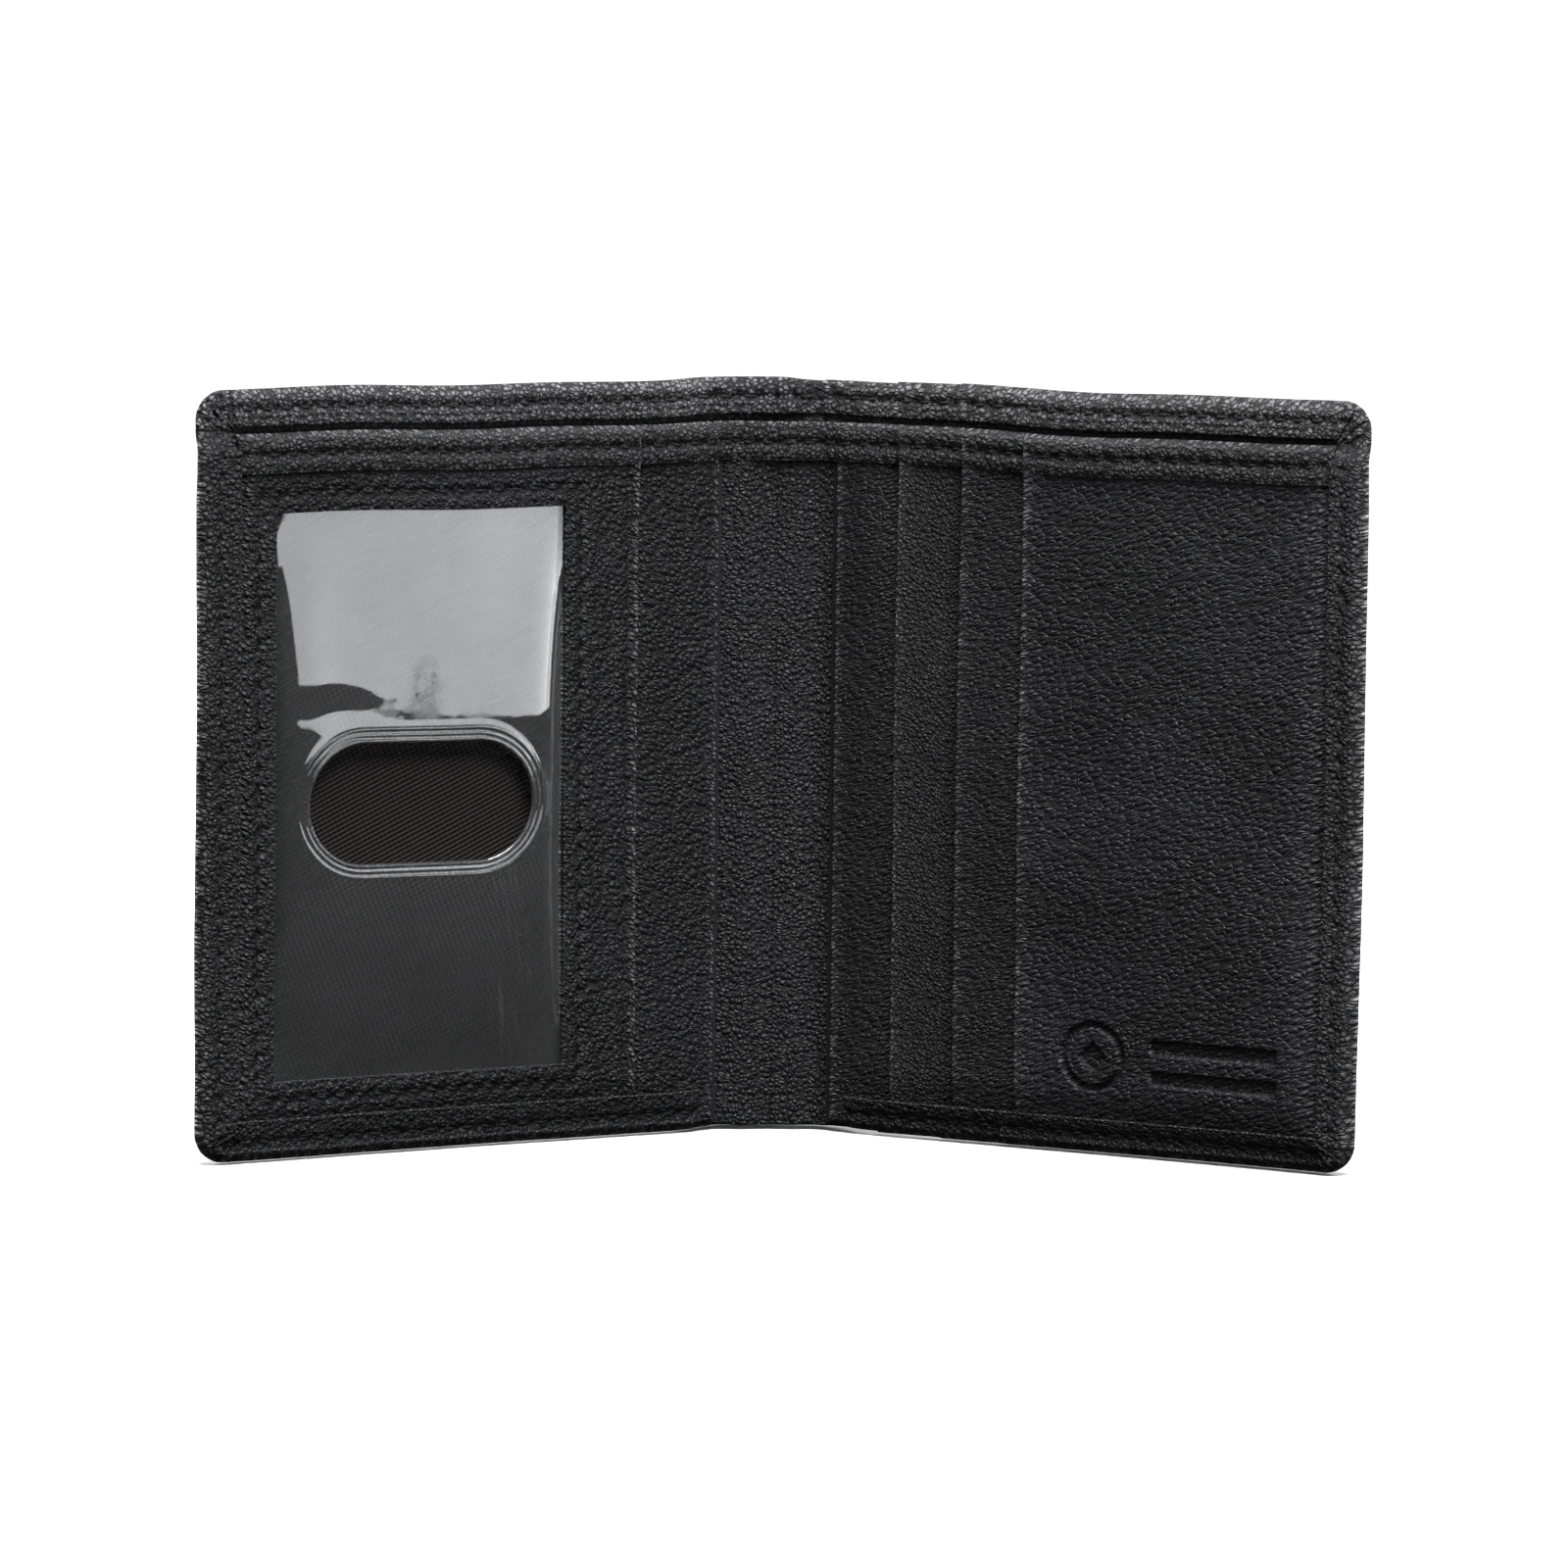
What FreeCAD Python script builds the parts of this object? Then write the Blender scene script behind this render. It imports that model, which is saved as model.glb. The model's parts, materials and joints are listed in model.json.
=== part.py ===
import FreeCAD, Part
import math
import os
import Sketcher

# A leather bifold wallet standing half open on its bottom edge, spine at the back.
# X runs along the open wallet, Y points back through the spine and Z is up. The origin is the foot of the
# spine. Each leaf is drawn flat, its own hinge on the Z axis and its outside towards +Y, and is then turned
# about that hinge by its Placement. All lengths are millimetres.

VECTOR = FreeCAD.Vector
UP = VECTOR(0, 0, 1)

doc = FreeCAD.newDocument("bifold_wallet")
sheet = doc.addObject("Spreadsheet::Sheet", "Sizes")

SIZES = {
    # the wallet
    "leaf_height": 108,
    "leaf_width": 82.5,
    "corner_radius": 4,
    "rest_angle": 27.7,
    # the two fold lines and the strip between them
    "hinge_half": 7.62,
    "hinge_forward": 6.3,
    "spine_half": 7.45,
    "gutter_half": 7.3,
    "leaf_start": 0.3,
    "pocket_start": 1.1,
    "binding_start": 1.5,
    "gutter_foot": 1,
    "spine_gap": 5.4,
    "compartment_gap": 1.7,
    # sheet thicknesses
    "sheet_gap": 0.1,
    "cover_wall": 0.7,
    "panel_wall": 0.6,
    "pocket_wall": 0.5,
    "backing_wall": 0.4,
    "lining_wall": 0.4,
    "board_wall": 0.4,
    "film_wall": 0.3,
    "fabric_wall": 0.2,
    "shield_wall": 0.1,
    # turned edges
    "side_hem": 5.5,
    "bottom_hem": 5,
    "top_hem": 4.2,
    "edge_inset": 0.8,
    # inner assembly and its top binding
    "inner_height": 101.5,
    "binding_leg": 5,
    # card slots: one mouth every slot_pitch
    "slot_pitch": 10.1,
    "strip_width": 17,
    "outer_first_mouth": 8.8,
    "outer_pitch": 9.85,
    # identity pocket
    "frame_mouth": 14.7,
    "window_near": 26.3,
    "window_far": 71.5,
    "window_foot": 11.2,
    "window_top": 90.8,
    "film_margin": 2.4,
    "hole_near": 32,
    "hole_far": 66.7,
    "hole_foot": 41.3,
    "hole_top": 58.2,
    "hole_radius": 8.4,
    "rim_width": 2,
    "rim_wall": 0.15,
    # thread
    "thread": 0.3,
    "thread_run": 2.2,
    "thread_pitch": 2.9,
    "edge_seam": 2.6,
    "window_seam": 2.6,
    "mouth_seam": 1.5,
}

for row, (alias, value) in enumerate(SIZES.items(), start=1):
    sheet.set("A%d" % row, alias)
    sheet.set("B%d" % row, str(value))
    sheet.setAlias("B%d" % row, alias)
doc.recompute()


def size(expression):
    """The value of an expression over the sheet's cells."""
    return float(sheet.evalExpression(expression.replace("Sizes.", "")))


# ---- helpers: where a piece lies -------------------------------------------------------------------------

def along(side, span):
    """X range of a span measured from the hinge outwards: the left leaf runs towards -X."""
    near, far = span
    if side == "left":
        return "-(%s)" % far, "-(%s)" % near
    return near, far


def stack(start, layers, inward=False):
    """Y ranges of sheets that lie one behind the other, one sheet_gap apart, from the hinge plane."""
    levels = {}
    near = start
    for name, wall in layers:
        far = "%s + Sizes.%s" % (near, wall)
        levels[name] = ("-(%s)" % far, "-(%s)" % near) if inward else (near, far)
        near = "%s + Sizes.sheet_gap" % far
    return levels


def turn_about_hinge(piece, side):
    """Puts a leaf's piece on its own hinge at the rest angle, and a spine's piece on the middle."""
    sign = {"left": "-", "right": "", "spine": "0 * "}[side]
    turn = {"left": "", "right": "-", "spine": "0 * "}[side]
    piece.Placement = FreeCAD.Placement(VECTOR(0, 0, 0), FreeCAD.Rotation(UP, 1))
    piece.setExpression("Placement.Base.x", sign + "Sizes.hinge_half")
    piece.setExpression("Placement.Base.y", "-Sizes.hinge_forward")
    piece.setExpression("Placement.Rotation.Angle", turn + "Sizes.rest_angle")


# ---- helpers: sketches, pads and pockets ----------------------------------------------------------------

CUTS = []
ALL_CORNERS = (0, 1, 2, 3)
OUTER_CORNERS = {"left": (0, 3), "right": (1, 2)}


def new_body(label, side):
    body = doc.addObject("PartDesign::Body", label)
    body.Label = label
    turn_about_hinge(body, side)
    return body


def rectangle_sketch(body, name, across, heights, plane_y, radius=None, corners=()):
    """A rectangle on the body's XZ plane at depth plane_y. corners names the rounded ones, as
    indices 0 to 3 from low X, low Z, going round through high X, low Z."""
    sketch = body.newObject("Sketcher::SketchObject", name)
    plane = [f for f in body.Origin.OriginFeatures if f.Role == "XZ_Plane"][0]
    sketch.AttachmentSupport = [(plane, "")]
    sketch.MapMode = "FlatFace"
    sketch.setExpression("AttachmentOffset.Base.z", "-(%s)" % plane_y)
    low_x, high_x = across
    low_z, high_z = heights
    points = [(size(low_x), size(low_z)), (size(high_x), size(low_z)),
              (size(high_x), size(high_z)), (size(low_x), size(high_z))]
    bend = size(radius) if corners else 0
    starts, ends = [], []
    for i in range(4):
        here, there = points[i], points[(i + 1) % 4]
        run = math.dist(here, there)
        step = ((there[0] - here[0]) / run, (there[1] - here[1]) / run)
        cut_near = bend if i in corners else 0
        cut_far = bend if (i + 1) % 4 in corners else 0
        starts.append(VECTOR(here[0] + step[0] * cut_near, here[1] + step[1] * cut_near, 0))
        ends.append(VECTOR(there[0] - step[0] * cut_far, there[1] - step[1] * cut_far, 0))
    for i in range(4):
        sketch.addGeometry(Part.LineSegment(starts[i], ends[i]), False)
        sketch.addConstraint(Sketcher.Constraint("Horizontal" if i % 2 == 0 else "Vertical", i))
    for i in range(4):
        before = (i - 1) % 4
        if i not in corners:
            sketch.addConstraint(Sketcher.Constraint("Coincident", before, 2, i, 1))
            continue
        inward = VECTOR(starts[i].x + ends[before].x, starts[i].y + ends[before].y, 0) / 2
        corner = VECTOR(points[i][0], points[i][1], 0)
        centre = corner + (inward - corner) * 2
        first = math.atan2(ends[before].y - centre.y, ends[before].x - centre.x)
        arc = Part.ArcOfCircle(Part.Circle(centre, UP, bend), first, first + math.pi / 2)
        index = sketch.addGeometry(arc, False)
        sketch.addConstraint(Sketcher.Constraint("Tangent", before, 2, index, 1))
        sketch.addConstraint(Sketcher.Constraint("Tangent", index, 2, i, 1))
        bind(sketch, Sketcher.Constraint("Radius", index, bend), radius)
    bind(sketch, Sketcher.Constraint("DistanceY", -1, 1, 0, 1, points[0][1]), low_z)
    bind(sketch, Sketcher.Constraint("DistanceX", -1, 1, 1, 1, points[1][0]), high_x)
    bind(sketch, Sketcher.Constraint("DistanceY", -1, 1, 2, 1, points[2][1]), high_z)
    bind(sketch, Sketcher.Constraint("DistanceX", -1, 1, 3, 1, points[3][0]), low_x)
    return sketch


def bind(sketch, constraint, expression):
    index = sketch.addConstraint(constraint)
    sketch.setExpression("Constraints[%d]" % index, expression)


def pad(body, across, heights, level, radius=None, corners=()):
    """Adds a plate: a pad grows towards -Y, so its sketch is on the far side."""
    count = len(body.Group)
    sketch = rectangle_sketch(body, "%s_profile_%d" % (body.Name, count), across, heights, level[1],
                              radius, corners)
    feature = body.newObject("PartDesign::Pad", "%s_pad_%d" % (body.Name, count))
    feature.Profile = sketch
    feature.setExpression("Length", "(%s) - (%s)" % (level[1], level[0]))
    sketch.Visibility = False
    return feature


def pocket(body, across, heights, level, radius=None, corners=()):
    """Cuts a plate's space: a pocket grows towards +Y, so its sketch is on the near side."""
    count = len(body.Group)
    sketch = rectangle_sketch(body, "%s_profile_%d" % (body.Name, count), across, heights, level[0],
                              radius, corners)
    feature = body.newObject("PartDesign::Pocket", "%s_pocket_%d" % (body.Name, count))
    feature.Profile = sketch
    feature.setExpression("Length", "(%s) - (%s)" % (level[1], level[0]))
    CUTS.append(feature)
    return feature


def sheet_piece(label, side, span, heights, level):
    """A flat sheet of leather, fabric, foil or board inside a leaf."""
    body = new_body(label, side)
    pad(body, along(side, span), heights, level)
    return body


# ---- levels and heights that several pieces share ---------------------------------------------------------

HEIGHT = "Sizes.leaf_height"
WIDTH = "Sizes.leaf_width"
INNER_FOOT = "Sizes.edge_inset"
INNER_TOP = "Sizes.inner_height"
INNER_EDGE = "Sizes.leaf_width - Sizes.edge_inset"
LEAF_START = "Sizes.leaf_start"
MOUTH = "Sizes.pocket_start"
INNER_HEIGHTS = (INNER_FOOT, INNER_TOP)
LINING_HEIGHTS = (INNER_FOOT, HEIGHT + " - Sizes.edge_inset")

# outside of the note compartment, common to both leaves
COMPARTMENT_BACK = "Sizes.backing_wall + Sizes.compartment_gap"
OUTSIDE = stack(COMPARTMENT_BACK, [
    ("lining", "lining_wall"), ("shield", "shield_wall"), ("board", "board_wall"), ("cover", "cover_wall")])
BACKING = ("0", "Sizes.backing_wall")

# outside of the right leaf: pockets on its back
RIGHT_OUTSIDE = stack(OUTSIDE["cover"][0], [
    ("base", "backing_wall"), ("slot_1", "pocket_wall"), ("slot_2", "pocket_wall"),
    ("slot_3", "pocket_wall"), ("panel", "panel_wall")])

# inner faces, towards the reader
LEFT_INSIDE = stack("Sizes.sheet_gap", [
    ("slip", "pocket_wall"), ("id_lining", "fabric_wall"), ("film", "film_wall"),
    ("frame", "pocket_wall"), ("hem", "panel_wall")], inward=True)
RIGHT_INSIDE = stack("Sizes.sheet_gap", [
    ("slot_1", "pocket_wall"), ("slot_2", "pocket_wall"), ("slot_3", "pocket_wall"),
    ("panel", "pocket_wall"), ("hem", "panel_wall")], inward=True)

# spine: gutter in front of the note compartment, lining and cover behind it
GUTTER = ("0", "Sizes.pocket_wall")
SPINE_OUTSIDE = stack("Sizes.pocket_wall + Sizes.spine_gap", [
    ("lining", "lining_wall"), ("shield", "shield_wall"), ("cover", "cover_wall")])


def lip_level(lining_front):
    """The top hem is turned over the lining's front face."""
    far = "%s - Sizes.sheet_gap" % lining_front
    return "%s - Sizes.panel_wall" % far, far


# ---- turned-edge cover pieces -----------------------------------------------------------------------------

def turned_cover(label, side, span, outer, front, lip, hidden_end=None, free_edge=True):
    """Outer leather whose bottom and free edges turn over the whole leaf, and whose top edge turns over
    the lining only, so that the note compartment stays open. outer is the plate's own level, front the
    level of the turned hem on the inside, and lip the level of the top hem. hidden_end is the end of the
    tongue that lies under the next piece."""
    body = new_body(label, side)
    near, far = span
    whole = (front[0], outer[1])
    corners = OUTER_CORNERS[side] if free_edge else ()
    pad(body, along(side, span), ("0", HEIGHT), whole, "Sizes.corner_radius", corners)
    past_near = "%s - 1" % near
    past_top = HEIGHT + " + 1"
    wall_end = "%s - Sizes.panel_wall" % far if free_edge else "%s + 1" % far
    hem_end = "%s - Sizes.side_hem" % far if free_edge else "%s + 1" % far
    lip_foot = HEIGHT + " - Sizes.top_hem"
    step = INNER_TOP + " + Sizes.pocket_wall + Sizes.sheet_gap"
    hem_back = front[1]
    # the front above the inner assembly
    pocket(body, along(side, (past_near, "%s + 1" % far)), (step, past_top),
           ("%s - 1" % front[0], lip[0]))
    # the space that the hem leaves open on the inside
    pocket(body, along(side, (past_near, hem_end)), ("Sizes.bottom_hem", past_top),
           ("%s - 1" % front[0], hem_back))
    # the space behind the hem, up to the foot of the lip
    pocket(body, along(side, (past_near, wall_end)), ("Sizes.panel_wall", lip_foot),
           (hem_back, outer[0]))
    # the space behind the lip
    pocket(body, along(side, (past_near, wall_end)), (lip_foot + " - 1", HEIGHT + " - Sizes.panel_wall"),
           (lip[1], outer[0]))
    # the hem stops short of the gutter
    if near == LEAF_START:
        pocket(body, along(side, (past_near, MOUTH)), ("-1", past_top), ("%s - 1" % front[0], "0"))
    if hidden_end:
        pad(body, along(side, ("%s - 0.5" % far, hidden_end)), LINING_HEIGHTS, outer)
    return body


# ---- left leaf --------------------------------------------------------------------------------------------

turned_cover("left_cover", "left", (LEAF_START, WIDTH), OUTSIDE["cover"], LEFT_INSIDE["hem"],
             lip_level(COMPARTMENT_BACK))
left_full = (LEAF_START, INNER_EDGE)
sheet_piece("left_cover_board", "left", ("Sizes.leaf_start + 3", INNER_EDGE), LINING_HEIGHTS,
            OUTSIDE["board"])
sheet_piece("left_rfid_shield", "left", left_full, LINING_HEIGHTS, OUTSIDE["shield"])
sheet_piece("left_compartment_lining", "left", left_full, LINING_HEIGHTS, OUTSIDE["lining"])
sheet_piece("left_pocket_backing", "left", left_full, INNER_HEIGHTS, BACKING)
slip_end = MOUTH + " + Sizes.strip_width + 6"
sheet_piece("left_slip_pocket", "left", (MOUTH, slip_end), INNER_HEIGHTS, LEFT_INSIDE["slip"])


def bag_level(strip_level):
    """A pocket's fabric bag hangs from the back face of its leather strip."""
    return "%s - Sizes.fabric_wall" % strip_level[1], strip_level[1]


sheet_piece("left_slip_pocket_bag", "left", (slip_end, INNER_EDGE), INNER_HEIGHTS,
            bag_level(LEFT_INSIDE["slip"]))
id_span = ("Sizes.frame_mouth", INNER_EDGE)
sheet_piece("id_pocket_lining", "left", id_span, INNER_HEIGHTS, LEFT_INSIDE["id_lining"])


def window_film():
    """Clear film behind the window, with an oval thumb hole in a raised rim."""
    body = new_body("id_window_film", "left")
    level = LEFT_INSIDE["film"]
    margin = " - Sizes.film_margin"
    grow = " + Sizes.film_margin"
    pad(body, along("left", ("Sizes.window_near" + margin, "Sizes.window_far" + grow)),
        ("Sizes.window_foot" + margin, "Sizes.window_top" + grow), level)
    rim = ("%s - Sizes.rim_wall" % level[0], level[0])
    pad(body, along("left", ("Sizes.hole_near - Sizes.rim_width", "Sizes.hole_far + Sizes.rim_width")),
        ("Sizes.hole_foot - Sizes.rim_width", "Sizes.hole_top + Sizes.rim_width"), rim,
        "Sizes.hole_radius + Sizes.rim_width", ALL_CORNERS)
    pocket(body, along("left", ("Sizes.hole_near", "Sizes.hole_far")), ("Sizes.hole_foot", "Sizes.hole_top"),
           ("%s - 1" % rim[0], "%s + 1" % level[1]), "Sizes.hole_radius", ALL_CORNERS)


def window_frame():
    """Leather panel with the die-cut window. Its near edge is the mouth of the identity pocket."""
    body = new_body("id_window_frame", "left")
    level = LEFT_INSIDE["frame"]
    pad(body, along("left", id_span), INNER_HEIGHTS, level)
    pocket(body, along("left", ("Sizes.window_near", "Sizes.window_far")),
           ("Sizes.window_foot", "Sizes.window_top"), ("%s - 1" % level[0], "%s + 1" % level[1]))


window_film()
window_frame()


# ---- top bindings of the inner assembly -------------------------------------------------------------------

def top_binding(label, side, across, front, back):
    """A strip folded over the top edge of the inner assembly. front is the level of its visible leg and
    back the far face of the sheet that it holds, or None where nothing is turned over behind."""
    body = new_body(label, side)
    top = (INNER_TOP, INNER_TOP + " + Sizes.pocket_wall")
    rear = "%s + Sizes.pocket_wall" % back
    pad(body, across, (INNER_TOP + " - Sizes.binding_leg", top[1]), (front[0], rear))
    low, high = across
    pocket(body, (low + " - 1", high + " + 1"), (INNER_TOP + " - Sizes.binding_leg - 1", INNER_TOP),
           (front[1], back))
    return body


def thin(level):
    """The binding is as thin as pocket leather, and lies on the face that the hem also covers."""
    return "%s - Sizes.pocket_wall" % level[1], level[1]


BINDING_SPAN = ("Sizes.binding_start", "Sizes.leaf_width - Sizes.side_hem - Sizes.sheet_gap")
top_binding("left_top_binding", "left", along("left", BINDING_SPAN), thin(LEFT_INSIDE["hem"]), BACKING[1])
top_binding("right_top_binding", "right", BINDING_SPAN, thin(RIGHT_INSIDE["hem"]), BACKING[1])


# ---- spine ------------------------------------------------------------------------------------------------

GUTTER_ACROSS = ("-Sizes.gutter_half", "Sizes.gutter_half")
SPINE_ACROSS = ("-Sizes.spine_half", "Sizes.spine_half")
SPINE_LIP = lip_level(SPINE_OUTSIDE["lining"][0])
sheet_piece("spine_gutter", "spine", GUTTER_ACROSS, ("Sizes.gutter_foot", INNER_TOP), GUTTER)
sheet_piece("spine_lining", "spine", SPINE_ACROSS, LINING_HEIGHTS, SPINE_OUTSIDE["lining"])
sheet_piece("spine_rfid_shield", "spine", SPINE_ACROSS, LINING_HEIGHTS, SPINE_OUTSIDE["shield"])


def spine_cover():
    """Outer leather between the folds. Its top and bottom edges turn over the spine lining."""
    body = new_body("spine_cover", "spine")
    low, high = SPINE_ACROSS
    past = (low + " - 1", high + " + 1")
    outer = SPINE_OUTSIDE["cover"]
    pad(body, SPINE_ACROSS, ("0", HEIGHT), (SPINE_LIP[0], outer[1]))
    pocket(body, past, ("Sizes.bottom_hem", HEIGHT + " - Sizes.top_hem"),
           (SPINE_LIP[0] + " - 1", SPINE_LIP[1]))
    pocket(body, past, ("Sizes.panel_wall", HEIGHT + " - Sizes.panel_wall"), (SPINE_LIP[1], outer[0]))


def gutter_binding():
    """The binding runs on across the gutter, turned over its front and its top edge."""
    body = new_body("gutter_top_binding", "spine")
    front = ("-Sizes.pocket_wall - 0.05", "-0.05")
    pad(body, GUTTER_ACROSS, (INNER_TOP + " - Sizes.binding_leg", INNER_TOP + " + Sizes.pocket_wall"),
        (front[0], GUTTER[1]))
    pocket(body, (GUTTER_ACROSS[0] + " - 1", GUTTER_ACROSS[1] + " + 1"),
           (INNER_TOP + " - Sizes.binding_leg - 1", INNER_TOP), (front[1], GUTTER[1] + " + 1"))


spine_cover()
gutter_binding()


# ---- right leaf -------------------------------------------------------------------------------------------

right_full = (LEAF_START, INNER_EDGE)
sheet_piece("right_cover_board", "right", ("Sizes.leaf_start + 3", INNER_EDGE), LINING_HEIGHTS,
            OUTSIDE["board"])
sheet_piece("right_rfid_shield", "right", right_full, LINING_HEIGHTS, OUTSIDE["shield"])
sheet_piece("right_compartment_lining", "right", right_full, LINING_HEIGHTS, OUTSIDE["lining"])
sheet_piece("right_pocket_backing", "right", right_full, INNER_HEIGHTS, BACKING)
sheet_piece("exterior_pocket_backing", "right", right_full, LINING_HEIGHTS, RIGHT_OUTSIDE["base"])

SLOTS = 3
for slot in range(1, SLOTS + 1):
    level = RIGHT_INSIDE["slot_%d" % slot]
    near = "%s + %d * Sizes.slot_pitch" % (MOUTH, slot - 1)
    strip_end = near + " + Sizes.strip_width"
    sheet_piece("card_slot_%d" % slot, "right", (near, strip_end), INNER_HEIGHTS, level)
    sheet_piece("card_slot_%d_bag" % slot, "right", (strip_end, INNER_EDGE), INNER_HEIGHTS, bag_level(level))
sheet_piece("card_front_panel", "right", ("%s + %d * Sizes.slot_pitch" % (MOUTH, SLOTS), INNER_EDGE),
            INNER_HEIGHTS, RIGHT_INSIDE["panel"])

RIGHT_LIP = lip_level(COMPARTMENT_BACK)
mouths = [LEAF_START] + ["Sizes.outer_first_mouth + %d * Sizes.outer_pitch" % i for i in range(SLOTS)]
for slot in range(1, SLOTS + 1):
    near = mouths[slot - 1]
    far = "%s - Sizes.sheet_gap" % mouths[slot]
    level = RIGHT_OUTSIDE["slot_%d" % slot]
    strip_end = mouths[slot] + " + Sizes.strip_width - Sizes.outer_pitch"
    turned_cover("exterior_slot_%d" % slot, "right", (near, far), level, RIGHT_INSIDE["hem"], RIGHT_LIP,
                 hidden_end=strip_end, free_edge=False)
    bag = ("%s + Sizes.sheet_gap" % strip_end, INNER_EDGE)
    sheet_piece("exterior_slot_%d_bag" % slot, "right", bag, LINING_HEIGHTS,
                (level[0], level[0] + " + Sizes.fabric_wall"))
turned_cover("exterior_front_panel", "right", (mouths[SLOTS], WIDTH), RIGHT_OUTSIDE["panel"],
             RIGHT_INSIDE["hem"], RIGHT_LIP)


# ---- stitching --------------------------------------------------------------------------------------------
# A seam is a row of separate short stitches, so its shape is made in a loop with Part's own functions.

THREAD = size("thread")
RUN = size("thread_run")
PITCH = size("thread_pitch")


def seam(start, end, face, outward):
    """Stitches from start to end, points (distance from the hinge, height), lying on the face at depth
    face. outward is 1 where the face looks towards +Y and -1 where it looks towards the reader."""
    (u0, z0), (u1, z1) = start, end
    length = math.hypot(u1 - u0, z1 - z0)
    count = max(1, int(length // PITCH))
    lead = (length - count * PITCH + PITCH - RUN) / 2
    low_y = face if outward > 0 else face - THREAD
    stitches = []
    for i in range(count):
        at = lead + i * PITCH
        first = (u0 + (u1 - u0) * at / length, z0 + (z1 - z0) * at / length)
        last = (u0 + (u1 - u0) * (at + RUN) / length, z0 + (z1 - z0) * (at + RUN) / length)
        low = [min(first[0], last[0]), min(first[1], last[1])]
        reach = [abs(last[0] - first[0]), abs(last[1] - first[1])]
        for k in (0, 1):
            if reach[k] < THREAD:
                low[k] -= THREAD / 2
                reach[k] = THREAD
        stitches.append((low, reach, low_y))
    return stitches


def stitching(label, side, rows):
    """One node holding every stitch of the rows."""
    solids = []
    for low, reach, low_y in [stitch for row in rows for stitch in row]:
        low_x = -low[0] - reach[0] if side == "left" else low[0]
        solids.append(Part.makeBox(reach[0], THREAD, reach[1], VECTOR(low_x, low_y, low[1])))
    feature = doc.addObject("Part::Feature", label)
    feature.Label = label
    feature.Shape = Part.makeCompound(solids)
    turn_about_hinge(feature, side)


height = size("leaf_height")
width = size("leaf_width")
edge = size("edge_seam")
foot_seam = edge
top_seam = height - edge
side_seam = width - edge - THREAD
near_end = size(MOUTH) + THREAD
lip_face = size(RIGHT_LIP[0])


def inside_perimeter(hem_face):
    """The seam along the bottom and the free edge, on the hem, and along the top, on the lip."""
    split = size("inner_height") - 2
    return [seam((near_end, foot_seam), (side_seam, foot_seam), hem_face, -1),
            seam((side_seam, foot_seam + 1), (side_seam, split), hem_face, -1),
            seam((near_end, top_seam), (side_seam, top_seam), lip_face, -1)]


left_outer_face = size(OUTSIDE["cover"][1])
stitching("left_perimeter_stitching", "left", inside_perimeter(size(LEFT_INSIDE["hem"][0])) + [
    seam((near_end, foot_seam), (side_seam, foot_seam), left_outer_face, 1),
    seam((side_seam, foot_seam + 1), (side_seam, top_seam - 1), left_outer_face, 1),
    seam((near_end, top_seam), (side_seam, top_seam), left_outer_face, 1)])

outer_rows = []
reaches = [size(m) for m in mouths] + [side_seam]
for i in range(SLOTS + 1):
    piece = "slot_%d" % (i + 1) if i < SLOTS else "panel"
    face = size(RIGHT_OUTSIDE[piece][1])
    for seam_height in (foot_seam, top_seam):
        outer_rows.append(seam((reaches[i] + 1, seam_height), (reaches[i + 1] - 1, seam_height), face, 1))
outer_rows.append(seam((side_seam, foot_seam + 1), (side_seam, top_seam - 1), face, 1))
stitching("right_perimeter_stitching", "right", inside_perimeter(size(RIGHT_INSIDE["hem"][0])) + outer_rows)

binding_seam = size("inner_height") - 3
binding_end = size(BINDING_SPAN[1]) - 1
for side, levels in (("left", LEFT_INSIDE), ("right", RIGHT_INSIDE)):
    face = size(thin(levels["hem"])[0])
    stitching(side + "_binding_stitching", side,
              [seam((near_end + 1, binding_seam), (binding_end, binding_seam), face, -1)])

gutter_end = size("gutter_half") - 1.5
spine_end = size("spine_half") - 0.5
spine_faces = ((size(SPINE_LIP[0]), -1), (size(SPINE_OUTSIDE["cover"][1]), 1))
stitching("gutter_binding_stitching", "spine",
          [seam((-gutter_end, binding_seam), (gutter_end, binding_seam), -size("pocket_wall") - 0.05, -1)])
stitching("spine_stitching", "spine",
          [seam((-spine_end, seam_height), (spine_end, seam_height), face, outward)
           for seam_height in (foot_seam, top_seam) for face, outward in spine_faces])

frame_face = size(LEFT_INSIDE["frame"][0])
offset = size("window_seam")
near, far = size("window_near") - offset, size("window_far") + offset
low, high = size("window_foot") - offset, size("window_top") + offset
stitching("id_window_stitching", "left", [
    seam((near, low), (far, low), frame_face, -1), seam((near, high), (far, high), frame_face, -1),
    seam((near, low + 1), (near, high - 1), frame_face, -1),
    seam((far, low + 1), (far, high - 1), frame_face, -1)])
mouth = size("frame_mouth") + size("mouth_seam")
mouth_top = size("inner_height") - size("binding_leg") - 1
stitching("id_mouth_stitching", "left",
          [seam((mouth, size("bottom_hem") + 1), (mouth, mouth_top), frame_face, -1)])


# ---- recompute, check and write ---------------------------------------------------------------------------

doc.recompute()
pieces = [o for o in doc.Objects if o.TypeId in ("PartDesign::Body", "Part::Feature")]
for item in doc.Objects:
    if "Invalid" in item.State or "Error" in item.State:
        raise RuntimeError("%s failed: %s" % (item.Name, item.State))
for cut in CUTS:
    if cut.Shape.Volume > cut.BaseFeature.Shape.Volume - 1e-6:
        raise RuntimeError("%s cuts nothing" % cut.Name)
for piece in pieces:
    if piece.Shape.isNull() or not piece.Shape.isValid() or not piece.Shape.Solids:
        raise RuntimeError("%s has no valid shape" % piece.Label)

os.makedirs("parts", exist_ok=True)
for piece in pieces:
    piece.Shape.exportStep("parts/%s.step" % piece.Label)
print("%d sub-parts written" % len(pieces))
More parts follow.
